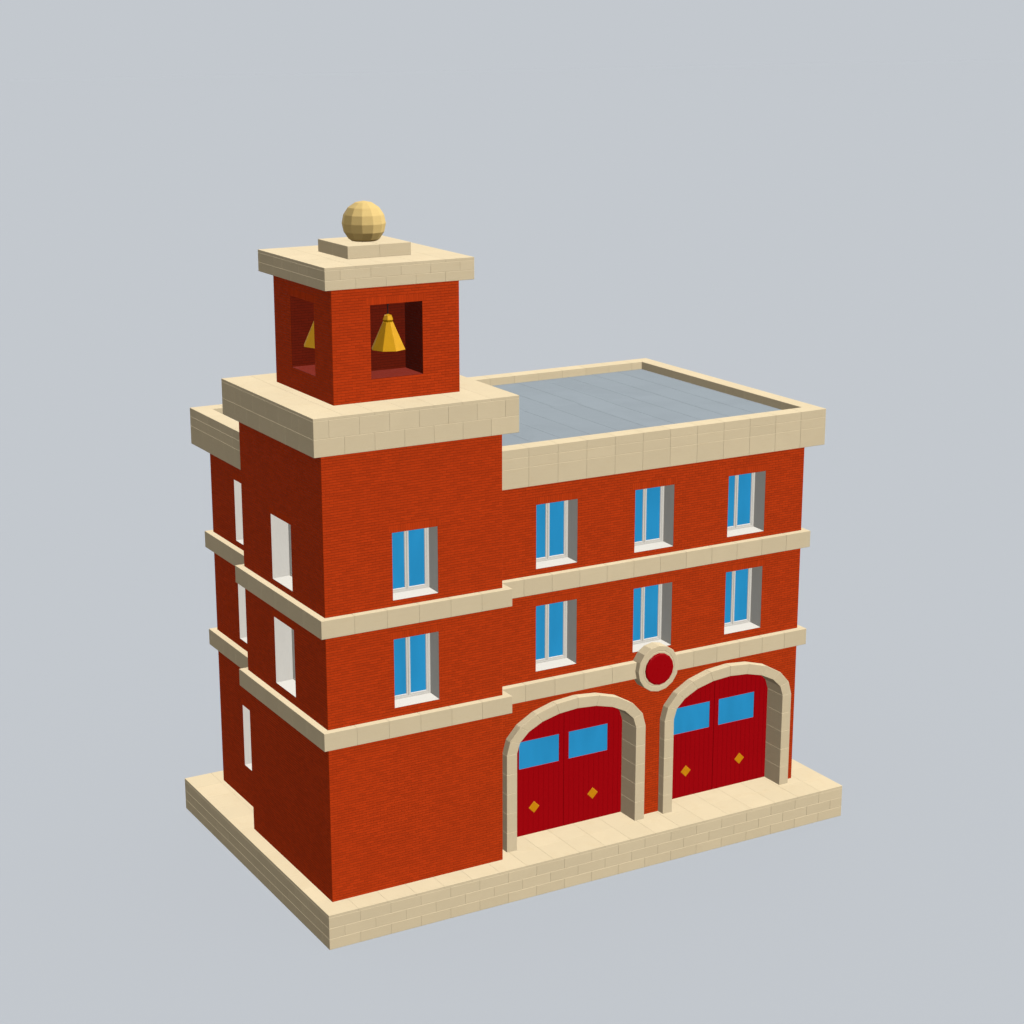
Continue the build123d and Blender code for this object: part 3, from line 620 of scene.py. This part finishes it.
def brick_face(name, turn, face, limits, storeys, holes=(), skip=None):
    """Running bond over one wall: brick outlines laid in strips, cut round the openings and raised."""
    left, right = limits
    count = max(1, round((right - left) / BRICK_L))
    pitch = (right - left) / count
    parts, heads, number = [], [], 0
    for low, high in [band for storey in storeys for band in bands(*storey, holes)]:
        total = max(1, round((high - low) / COURSE_H))
        h = (high - low) / total
        for parity in (0, 1):
            start = (number + parity) % 2
            rows = len(range(start, total, 2))
            if not rows:
                continue
            foot = low + start * h
            shift = pitch / 2 * parity
            made = strip(left - shift, right + shift, count + parity, foot, foot + h)
            parts.append(repeat(made, rows, (0, 0, 2 * h)))
        for a, b, foot, head in holes:
            if abs(head - low) < TOUCH and total > SOLDIER_COURSES:
                lap = SOLDIER_W * SOLDIER_LAP
                heads.append((a - lap, b + lap, low, low + SOLDIER_COURSES * h))
        number += total
    wall = join(name, parts)
    edit(wall)
    for x, outward in ((left, -1), (right, 1)):
        pick_all()
        cut((x, 0, 0), (outward, 0, 0), clear_outer=True)
    cuts = [*holes, *heads]
    for a, b, foot, head in cuts:
        for x in (a, b):
            pick("faces", lambda f: foot < middle(f).z < head and abs(middle(f).x - x) < 2 * pitch)
            cut((x, 0, 0), (1, 0, 0))

    def gone(face):
        """True for a face in an opening, or where it has to be skipped."""
        m = middle(face)
        return any(a < m.x < b and foot < m.z < head for a, b, foot, head in cuts) or (skip and skip(m))

    if pick("faces", gone):
        drop("FACE")

    def too_near(edge):
        """True for a joint too near an opening for a brick beside it."""
        p = (edge.verts[0].co + edge.verts[1].co) / 2
        return len(edge.link_faces) == 2 and any(
            foot < p.z < head and (a - CLOSER < p.x < a - TOUCH or b + TOUCH < p.x < b + CLOSER)
            for a, b, foot, head in cuts)

    if cuts and pick("edges", too_near):
        bpy.ops.mesh.dissolve_edges(use_verts=True)
    leave()
    if heads:
        soldiers = [strip(a, b, round((b - a) / SOLDIER_W), foot, head) for a, b, foot, head in heads]
        wall = join(name, [wall, *soldiers])
    edit(wall)
    pick_all()
    bpy.ops.mesh.edge_split(type="EDGE")
    step_in([(JOINT, BRICK_PROUD)], each=True)
    leave()
    wall.rotation_euler.z = radians(turn)
    wall.location = facing(turn)[1] * face
    return settle(wall)


def in_arch(point):
    """True within the middle line of a door surround, where the stone hides what is left."""
    half, rise = surround_half - SURROUND_W / 2, surround_high.z - spring_z - SURROUND_W / 2
    for centre in bays:
        u, v = (point.x - centre) / half, max(0, point.z - spring_z) / rise
        if abs(u) < 1 and u * u + v * v < 1:
            return True
    return False


main_faces = {"front": -main_low.y, "right": main_high.x, "back": main_high.y, "left": -main_low.x}
tower_faces = {"front": -tower_low.y, "left": -tower_low.x, "right": tower_high.x, "back": tower_high.y}
ground_storey, first_storey = (floor_z, string_1[0]), (string_1[1], string_2[0])
main_storeys = [ground_storey, first_storey, (string_2[1], main_high.z)]
tower_storeys = [ground_storey, first_storey, (string_2[1], tower_high.z)]
above_roof = [(roof_z, tower_high.z)]
front_run = (tower_high.x, main_high.x)


def brickwork(name, side, faces, limits, storeys, skip=None):
    """Finished brick face of one wall, with the windows that it has."""
    turn, face = TURNS[side], faces[side]
    wall = brick_face(f"{name}_brickwork", turn, face, limits, storeys, holes_in(turn, face), skip)
    mount(wall, BRICK)


brickwork("front_bay", "front", main_faces, front_run, [ground_storey], in_arch)
brickwork("front", "front", main_faces, front_run, main_storeys[1:])
brickwork("right", "right", main_faces, (main_low.y, main_high.y), main_storeys)
brickwork("back", "back", main_faces, (-main_high.x, -main_low.x), main_storeys)
brickwork("left", "left", main_faces, (-main_high.y, -tower_high.y), main_storeys)
brickwork("tower_front", "front", tower_faces, (tower_low.x, tower_high.x), tower_storeys)
brickwork("tower_left", "left", tower_faces, (-tower_high.y, -tower_low.y), tower_storeys)
brickwork("tower_right_return", "right", tower_faces, (tower_low.y, main_low.y), tower_storeys)
brickwork("tower_back_return", "back", tower_faces, (-main_low.x, -tower_low.x), tower_storeys)
brickwork("tower_right", "right", tower_faces, (main_low.y, tower_high.y), above_roof)
brickwork("tower_back", "back", tower_faces, (-tower_high.x, -main_low.x), above_roof)

outer, inner, tiles = [], [], []
for side, turn in TURNS.items():
    along, out = facing(turn)
    centre, face = belfry_middle.dot(along), belfry_middle.dot(out) + belfry_half
    limits, hole = (centre - belfry_half, centre + belfry_half), (centre - niche_half, centre + niche_half)
    inside = [(niche_low, niche_top)]
    storey = (belfry_low.z, belfry_high.z)
    outer.append(brick_face("belfry", turn, face, limits, [storey], [(*hole, *inside[0])]))
    inner.append(brick_face("niche", turn, face - niche_depth, hole, inside))
    inner.append(brick_face("niche", turn - 90, -hole[1], (face - niche_depth, face), inside))
    inner.append(brick_face("niche", turn + 90, hole[0], (-face, niche_depth - face), inside))
    corners = [along * a + out * o for a, o in ((hole[0], face - niche_depth), (hole[1], face))]
    low = Vector((min(c.x for c in corners), min(c.y for c in corners), niche_low))
    high = Vector((max(c.x for c in corners), max(c.y for c in corners), niche_low + TILE_T))
    tiles.append(paving(low, high, TILE_L, TILE_ARRIS))
mount(join("belfry_brickwork", outer), BRICK)
# The niche linings carry painted shade in their darker brick colour.
mount(join("niche_brickwork", inner), NICHE_SHADE_BRICK)
mount(join("niche_tiles", tiles), TILE)


# ---- stone dressings
def dressing(name, node, parts, finish=STONE):
    """Finished stonework that stands for one CAD node."""
    mount(join(name, parts), finish, replaces=[node])


def laid(runs, foot, head):
    """One course of stones along each run: two corners, and the axis that it follows."""
    return [stone for a, b, axis in runs for stone in courses((*a, foot), (*b, head), axis, [head - foot])]


low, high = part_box("plinth")
bed = Vector((PLINTH_WALL, PLINTH_WALL, 0))
dressing("plinth_stones", "plinth", [
    *ring(low, high, PLINTH_WALL, PLINTH_COURSES),
    block(low + bed, high - bed - Vector((0, 0, FLAG_T))),
    paving((low.x, low.y, high.z - FLAG_T), high)])

for name, node, (foot, head) in (("lower_string_stones", "lower_string_course", string_1),
                                 ("upper_string_stones", "upper_string_course", string_2)):
    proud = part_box(node)[1].x - main_high.x
    runs = [
        ((tower_low.x - proud, tower_low.y - proud), (tower_high.x + proud, tower_low.y), 0),
        ((tower_low.x - proud, tower_low.y), (tower_low.x, tower_high.y + proud), 1),
        ((tower_high.x, tower_low.y), (tower_high.x + proud, main_low.y - proud), 1),
        ((tower_low.x, tower_high.y), (main_low.x - proud, tower_high.y + proud), 0),
        ((main_low.x - proud, tower_high.y), (main_low.x, main_high.y), 1),
        ((main_low.x - proud, main_high.y), (main_high.x + proud, main_high.y + proud), 0),
        ((main_high.x, main_low.y), (main_high.x + proud, main_high.y), 1),
    ]
    front = (tower_high.x, main_low.y - proud), (main_high.x + proud, main_low.y)
    if node == "lower_string_course":
        middle_x = sum(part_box("medallion_stone")[i].x for i in (0, 1)) / 2
        runs += [(front[0], (middle_x - MEDALLION_GRIP, front[1][1]), 0),
                 ((middle_x + MEDALLION_GRIP, front[0][1]), front[1], 0)]
    else:
        runs.append((*front, 0))
    dressing(name, node, laid(runs, foot, head))

cornice_low, cornice_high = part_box("main_cornice")
parapet_low, parapet_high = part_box("parapet")
ledge_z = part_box("roof_slab")[0].z
parapet_w = levels("parapet", 1)[1] - parapet_low.y


def round_roof(low_z, high_z, thick):
    """Stones round the main roof, which stop against the tower."""
    low, high = cornice_low, cornice_high
    runs = [
        ((tower_high.x, low.y), (high.x, low.y + thick), 0),
        ((low.x, high.y - thick), (high.x, high.y), 0),
        ((high.x - thick, low.y + thick), (high.x, high.y - thick), 1),
        ((low.x, tower_high.y), (low.x + thick, high.y - thick), 1),
    ]
    return laid(runs, low_z, high_z)


ledge_w = levels("front_upper_wall", 1)[-1] - cornice_low.y
dressing("cornice_stones", "main_cornice", [
    *round_roof(cornice_low.z, ledge_z, ledge_w), *round_roof(ledge_z, cornice_high.z, parapet_w)])
dressing("parapet_stones", "parapet", round_roof(parapet_low.z, parapet_high.z, parapet_w))

for node, wall_w in (("tower_cornice", levels("tower_cornice", 0)[1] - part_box("tower_cornice")[0].x),
                     ("belfry_cap", (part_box("belfry_cap")[1].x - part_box("belfry_cap")[0].x) / 4)):
    low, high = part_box(node)
    dressing(f"{node}_stones", node, [
        *ring(low, high, wall_w, CORNICE_COURSES),
        paving((low.x, low.y, high.z - FLAG_T), high)])
dressing("finial_plinth_stones", "finial_plinth", [paving(*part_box("finial_plinth"), STONE_L, ARRIS)])

# The ball keeps its flat facets; only the edges between them are eased.
ball = cad_copy("finial_ball")
edit(ball)
pick("edges", lambda e: sharp(e, 5))
ease(BALL_ARRIS)
leave()
dressing("finial_ball_stone", "finial_ball", [ball], BALL_STONE)


# ---- pieces cut from a CAD shape
def plane(axis, place, outward):
    """Plane square to an axis: a point on it, and the way out of what is kept."""
    return moved((0, 0, 0), axis, place), moved((0, 0, 0), axis, outward)


def part_behind(solid, planes, arris):
    """Closed part of a closed solid behind every plane, with its arrises taken off."""
    part = copy_of(solid)
    edit(part)
    for point, normal in planes:
        if pick("verts", lambda v: (v.co - point).dot(normal) > TOUCH):
            pick_all()
            cut(point, normal, use_fill=True, clear_outer=True)
    if pick("edges", lambda e: sharp(e, 20)):
        ease(arris)
    leave()
    return part


def discard(piece):
    """Removes a piece that was only a pattern for others."""
    bpy.data.objects.remove(piece, do_unlink=True)


# Door surrounds: plumb jambs of five stones, and one voussoir for each flat of the arch.
surrounds = cad_copy("door_surrounds")
inner_half, inner_rise = surround_half - SURROUND_W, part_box("bay_1_left_leaf")[1].z - spring_z - LEAF_LAP
outer_rise = surround_high.z - spring_z
jamb_h = (spring_z - floor_z) / JAMB_STONES
stones = []


def on_arch(centre, half, rise, turn):
    """Point of an arch at a turn up from its spring; a half below zero turns to the left."""
    return Vector((centre + half * cos(turn), 0, spring_z + rise * sin(turn)))


for centre in bays:
    apart = [plane(0, centre - surround_half - SURROUND_CLEAR, -1),
             plane(0, centre + surround_half + SURROUND_CLEAR, 1)]
    for side in (-1, 1):
        half = [*apart, plane(0, centre, -side)]
        for i in range(JAMB_STONES):
            foot = floor_z + i * jamb_h
            planes = [*half, plane(2, foot, -1), plane(2, foot + jamb_h, 1)]
            stones.append(part_behind(surrounds, planes, ARRIS))
        turns = [pi * i / VOUSSOIRS for i in range(VOUSSOIRS // 2 + 1)]
        for low_turn, high_turn in zip(turns, turns[1:]):
            planes = [*half, plane(2, spring_z, -1)]
            for turn, keep in ((low_turn, -1), (high_turn, 1)):
                inside = on_arch(centre, side * inner_half, inner_rise, turn)
                line = on_arch(centre, side * surround_half, outer_rise, turn) - inside
                planes.append((inside, Vector((-line.z, 0, line.x)).normalized() * side * keep))
            stones.append(part_behind(surrounds, planes, ARRIS))
discard(surrounds)
dressing("door_surround_stones", "door_surrounds", stones)

# ---- medallion
ringed = cad_copy("medallion_stone")
face_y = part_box("medallion_stone")[0].y
edit(ringed)
pick("edges", lambda e: sharp(e, 60) and all(v.co.y < face_y + TOUCH for v in e.verts))
ease(RING_EDGE, 2)
pick("faces", lambda f: in_front(f, face_y) and len(f.verts) > 8)
step_in(RING_STEPS)
leave()
dressing("medallion_ring", "medallion_stone", [ringed])

disc = cad_copy("medallion_disc")
disc_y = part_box("medallion_disc")[0].y
edit(disc)
pick("faces", lambda f: in_front(f, disc_y))
step_in(DISC_STEPS)
pick("edges", lambda e: sharp(e, 30))
ease(DISC_EDGE, 2)
leave()
mount(join("medallion_plate", [disc]), ENAMEL, replaces=["medallion_disc"])

# ---- roof covering
roof_low = Vector((cornice_low.x + parapet_w, cornice_low.y + parapet_w, roof_z))
roof_high = Vector((cornice_high.x - parapet_w, cornice_high.y - parapet_w, roof_z + SHEET_T))
sheets = []
for (x0, y0), (x1, y1) in (((tower_high.x, roof_low.y), (roof_high.x, tower_high.y)),
                           ((roof_low.x, tower_high.y), (roof_high.x, roof_high.y))):
    count = round((x1 - x0) / SHEET_W)
    sheets.append(row((x0, y0, roof_z), (x1, y1, roof_high.z), 0, count, SHEET_ARRIS))
    pitch = (x1 - x0) / count
    lap = block((x0 + pitch - LAP_W / 2, y0, roof_high.z - LAP_SUNK),
                (x0 + pitch + LAP_W / 2, y1, roof_high.z + LAP_T), LAP_ARRIS)
    sheets.append(repeat(lap, count - 1, (pitch, 0, 0)))
mount(join("roof_sheets", sheets), ROOFING)

# ---- windows
frame_d = min(sashes[0][1].x - sashes[0][0].x, sashes[0][1].y - sashes[0][0].y)


def panel(width, height, centre=(0, 0, 0)):
    """Flat rectangle that faces -Y, in edit mode with all of it selected."""
    bpy.ops.mesh.primitive_plane_add(size=1, rotation=(pi / 2, 0, 0), location=centre)
    bpy.context.object.scale = (width, height, 1)
    flat = settle()
    edit(flat)
    pick_all()
    return flat


def casements(height):
    """Pair of casements in their frame, seen from outside, centred on the origin and facing -Y."""
    window = panel(window_w, height)
    step_in([(frame_bar / 2, 0)])
    cut((0, 0, 0), (1, 0, 0))
    inside_x, inside_z = window_w / 2 - frame_bar / 2, height / 2 - frame_bar / 2
    pick("faces", lambda f: abs(middle(f).x) < inside_x / 1.5 and abs(middle(f).z) < inside_z / 2)
    sash_bar = frame_bar / 2 - 2 * CASEMENT_GAP - SASH_SLOPE
    step_in(((CASEMENT_GAP, -CASEMENT_GAP_D), (CASEMENT_GAP, CASEMENT_GAP_D), (sash_bar, 0),
             (SASH_SLOPE, -SASH_FALL), (SASH_LIP, -SASH_LIP_D)), each=True)
    drop("FACE")
    leave()
    body = window.modifiers.new("thickness", "SOLIDIFY")
    body.thickness, body.offset = frame_d - FRAME_PLAY, -1
    bpy.ops.object.modifier_apply(modifier=body.name)
    return window


def sill(depth):
    """Weathered sill under one window, centred on the origin, with its front edge at y = 0."""
    board = squared((-window_w / 2, 0, 0), (window_w / 2, depth, SILL_T))
    pick("verts", lambda v: v.co.y < TOUCH and v.co.z > TOUCH)
    bpy.ops.transform.translate(value=(0, 0, -SILL_FALL))
    pick("edges", lambda e: all(v.co.y < TOUCH and v.co.z > TOUCH for v in e.verts))
    ease(SILL_NOSE, 3)
    leave()
    return board


patterns = {height: casements(height) for height in dict.fromkeys(round(b.z - a.z, 3) for a, b in sashes)}
lining_low, lining_high = linings[0]
reveal = min(lining_high.x - lining_low.x, lining_high.y - lining_low.y) - frame_d
board = sill(reveal)
joinery, sills = [], []
for low, high in sashes:
    place = (low + high) / 2
    if high.x - low.x > high.y - low.y:
        turn = 0 if place.y < 0 else 180
    else:
        turn = 270 if place.x < 0 else 90
    window = patterns[round(high.z - low.z, 3)]
    for pattern, reach, z, made in ((window, frame_d / 2, place.z, joinery),
                                    (board, frame_d / 2 + reveal, low.z, sills)):
        piece = copy_of(pattern)
        piece.location = place + facing(turn)[1] * reach
        piece.location.z = z
        piece.rotation_euler.z = radians(turn)
        made.append(piece)
for pattern in (*patterns.values(), board):
    discard(pattern)
mount(join("window_joinery", joinery), PAINT, replaces=["window_frames"])
mount(join("window_sills", sills), PAINT)


# ---- engine doors
def raise_by(thick):
    """Turns the flat shape in edit mode, which faces -Y, into a closed one."""
    pick_all()
    bpy.ops.mesh.extrude_region_move(TRANSFORM_OT_translate={"value": (0, -thick, 0)})
    pick_all()
    bpy.ops.mesh.normals_make_consistent(inside=False)


def diamond(centre, reach, thick):
    """Four-cornered plate on a face that looks along -Y, with its edge sloped off."""
    bpy.ops.mesh.primitive_circle_add(vertices=4, radius=reach, fill_type="NGON", rotation=(pi / 2, 0, 0),
                                      location=centre)
    plate = settle()
    edit(plate)
    raise_by(thick)
    pick("edges", lambda e: all(v.co.y < centre.y - thick / 2 for v in e.verts))
    ease(thick / 2)
    leave()
    return plate


def round_head(seat, radius, height, out):
    """Head of a screw or bolt with a rounded top, on a face that looks along +Y or -Y."""
    centre = Vector(seat) + Vector((0, out * height / 2, 0))
    bpy.ops.mesh.primitive_cylinder_add(vertices=HEAD_SIDES, radius=radius, depth=height, location=centre,
                                        rotation=(pi / 2, 0, 0))
    head = settle()
    edit(head)
    pick("faces", lambda f: f.normal.y * out > FACES_OUT)
    bpy.ops.transform.resize(value=(HEAD_CROWN, 1, HEAD_CROWN))
    pick("edges", lambda e: sharp(e, 40) and all((v.co.y - seat[1]) * out > height / 2 for v in e.verts))
    ease(height / 2, 2)
    leave()
    return head


def leaf_boards(node, low, high):
    """Boards over the front of a leaf, and the ledges and brace behind them, cut from its solid."""
    leaf = cad_copy(node)
    count = round((high.x - low.x) / BOARD_W)
    width = (high.x - low.x) / count
    parts = []
    for i in range(count):
        x = low.x + i * width
        limits = [plane(1, low.y + BOARD_T - BOARD_PLAY, 1), plane(0, x, -1), plane(0, x + width, 1)]
        parts.append(part_behind(leaf, limits, BOARD_ARRIS))
    parts.append(part_behind(leaf, [plane(1, low.y + BOARD_T + BOARD_PLAY, -1)], LEDGE_ARRIS))
    discard(leaf)
    return parts


def glazing_bead(low, high, face):
    """Moulding planted on the face of a leaf, all round its pane."""
    centre = (low + high) / 2
    centre.y = face
    bead = panel(high.x - low.x + 2 * BEAD_W, high.z - low.z + 2 * BEAD_W, centre)
    step_in([(BEAD_W, 0)])
    drop("FACE")
    raise_by(BEAD_T)
    pick("edges", lambda e: sharp(e, 60) and all(v.co.y < face - TOUCH for v in e.verts))
    ease(BEAD_SLOPE)
    leave()
    return bead


def screwed_plate(low, high):
    """Diamond plate with a screw near each corner."""
    centre, reach = (low + high) / 2, PLATE_SHARE * (high.x - low.x) / 2
    centre.y = high.y
    parts = [diamond(centre, reach, high.y - low.y - SCREW_H)]
    seat = Vector((centre.x, low.y + SCREW_H, centre.z))
    for x, z in ((1, 0), (-1, 0), (0, 1), (0, -1)):
        parts.append(round_head(seat + Vector((x, 0, z)) * (reach - SCREW_IN), SCREW_R, SCREW_H, -1))
    return parts


def bolted_straps(node, boxes, back, side):
    """Strap hinges behind a leaf, with their bolts; side is -1 where they hang on the left."""
    straps = cad_copy(node)
    edit(straps)
    pick("verts", lambda v: v.co.y < back - TOUCH)
    drop("VERT")
    pick("edges", lambda e: sharp(e, 60))
    ease(STRAP_ARRIS)
    leave()
    parts = [straps]
    for low, high in boxes:
        if low.y < back - TOUCH:
            continue
        tip, height = high.x if side < 0 else low.x, (low.z + high.z) / 2
        for share in BOLTS_AT:
            x = tip + side * share * (high.x - low.x)
            parts.append(round_head((x, back + STRAP_T, height), BOLT_R, BOLT_H, 1))
    return parts


for bay in (1, 2):
    for hand, side in (("left", -1), ("right", 1)):
        name = f"bay_{bay}_{hand}"
        body, leaf, metal = f"{name}_door", f"{name}_leaf", f"{name}_fittings"
        low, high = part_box(leaf)
        boards = join(f"{name}_boards", leaf_boards(leaf, low, high))
        mount(boards, DOOR_PAINT, body, [leaf])
        foot_strip = block((low.x, low.y + FOOT_STRIP_ARRIS, low.z - FOOT_STRIP_H),
                           (high.x, high.y, low.z + BOARD_ARRIS), FOOT_STRIP_ARRIS)
        mount(join(f"{name}_foot_strip", [foot_strip]), DOOR_PAINT, body)
        bead = glazing_bead(*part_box(f"{name}_pane"), low.y)
        mount(join(f"{name}_bead", [bead]), DOOR_PAINT, body)
        fittings = islands(metal)
        plate = join(f"{name}_plate", screwed_plate(*min(fittings, key=lambda f: f[0].y)))
        straps = join(f"{name}_straps", bolted_straps(metal, fittings, high.y, side))
        mount(straps, BLACK_IRON, body, [metal])
        mount(plate, PLATE_BRASS, body, [metal])

# ---- bells
for side in TURNS:
    node = f"{side}_bell"
    hung = cad_copy(node)
    edit(hung)
    pick("edges", lambda e: sharp(e, 25) and e.calc_length() > BELL_FACET)
    ease(BELL_EDGE, 2)
    leave()
    low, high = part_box(node)
    axis = (low + high) / 2
    bell = mount(join(f"{side}_cast_bell", [hung]), BELL_BRASS, node, [node])
    bell.data.materials.append(BLACK_IRON)
    for face in bell.data.polygons:
        corners = (bell.data.vertices[i].co - axis for i in face.vertices)
        if all(corner.xy.length < IRON_REACH for corner in corners):
            face.material_index = 1

# ---- CAD nodes that keep their shape
KEPT = {
    WALLING: ("front_piers", "front_arch_wall", "front_upper_wall", "right_wall", "back_wall", "left_wall",
              "tower_front_wall", "tower_left_wall", "tower_inner_walls", "belfry"),
    PLASTER: ("upper_floors", "roof_slab"),
    PAINT: ("window_linings",),
    GLASS: ("window_glass", *(f"bay_{bay}_{hand}_pane" for bay in (1, 2) for hand in ("left", "right"))),
    BLACK_IRON: ("door_pintles", "bell_hangers"),
}
for finish, nodes in KEPT.items():
    for node in nodes:
        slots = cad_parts[node].data.materials
        slots.clear()
        slots.append(finish)

# ---- camera, lights and stage
BACKDROP = rgb(0.546, 0.578, 0.617)
PAPER = rgb(0.5156, 0.5458, 0.5826)  # looks like the backdrop under these lights
DIM = rgb(0.08, 0.083, 0.085)
UP, DOWN = Vector((0, 0, 1)), Vector((0, 0, -1))
KEY_FROM, KEY_POWER = Vector((0.476, -0.508, 0.718)), 2.84
FILLS = {"front": 0.55, "right": 0.55, "back": 0.95, "left": 0.55}
FILL_RISE, FLOOR_FILL = radians(22), 0.12
LAMP_WIDTH = radians(12)
SKY_STRENGTH = 0.15
GROUND_SIZE = 1200
EYE, EYE_TURN = (-28.839, -49.951, 25.581), (radians(75), 0, radians(-30))
LENS, SENSOR, SIGHT = 67.18, 36, 2000


def seen_directly(tree):
    """1 for what the camera, a gloss or clear glass sees, 0 for light that only scatters."""
    path = new_node(tree, "LightPath")
    most = path.outputs["Is Camera Ray"]
    for ray in ("Is Glossy Ray", "Is Transmission Ray"):
        larger = new_node(tree, "Math")
        larger.operation = "MAXIMUM"
        link(tree, most, larger.inputs[0])
        link(tree, path.outputs[ray], larger.inputs[1])
        most = larger.outputs[0]
    return most


def two_faced(tree, scattered, direct, output):
    """Gives scattered light one shader, and direct sight another."""
    either = new_node(tree, "MixShader")
    link(tree, seen_directly(tree), either.inputs[0])
    link(tree, scattered.outputs[0], either.inputs[1])
    link(tree, direct.outputs[0], either.inputs[2])
    link(tree, either.outputs[0], new_node(tree, output).inputs[0])


world = bpy.data.worlds.new("pale studio")
world.use_nodes = True
bpy.context.scene.world = world
sky = world.node_tree
sky.nodes.clear()
split = new_node(sky, "SeparateXYZ")
link(sky, new_node(sky, "TexCoord").outputs["Generated"], split.inputs[0])
rise = new_node(sky, "MapRange")
for socket, number in zip(list(rise.inputs)[1:5], (0, 1, 0, SKY_STRENGTH)):
    socket.default_value = number
link(sky, split.outputs["Z"], rise.inputs[0])
fill, shown = (new_node(sky, "Background") for _ in range(2))
fill.inputs["Color"].default_value, shown.inputs["Color"].default_value = rgb(1, 1, 1), BACKDROP
link(sky, rise.outputs[0], fill.inputs["Strength"])
two_faced(sky, fill, shown, "OutputWorld")


def lamp(name, energy, come_from):
    """Distant soft lamp that casts no shadow of its own; the sky gives the soft shadows."""
    bpy.ops.object.light_add(type="SUN")
    light = bpy.context.object
    light.name = name
    light.data.energy, light.data.angle, light.data.use_shadow = energy, LAMP_WIDTH, False
    light.data.cycles.max_bounces = 0
    light.rotation_euler = Vector(come_from).to_track_quat("Z", "Y").to_euler()


lamp("key", KEY_POWER, KEY_FROM)
for side, turn in TURNS.items():
    lamp(f"{side} fill", FILLS[side], facing(turn)[1] * cos(FILL_RISE) + UP * sin(FILL_RISE))
lamp("floor fill", FLOOR_FILL, DOWN)

bpy.ops.mesh.primitive_plane_add(size=GROUND_SIZE)
ground = bpy.context.object
ground.name = "ground"
paper = bpy.data.materials.new("pale paper")
paper.use_nodes = True
tree = paper.node_tree
tree.nodes.clear()
pale, dim = (new_node(tree, "BsdfDiffuse") for _ in range(2))
pale.inputs["Color"].default_value, dim.inputs["Color"].default_value = PAPER, DIM
two_faced(tree, dim, pale, "OutputMaterial")
ground.data.materials.append(paper)

bpy.ops.object.camera_add(location=EYE, rotation=EYE_TURN)
camera = bpy.context.object
camera.name = "camera"
camera.data.lens, camera.data.sensor_width, camera.data.clip_end = LENS, SENSOR, SIGHT
bpy.context.scene.camera = camera
bpy.context.scene.view_settings.view_transform = "Standard"
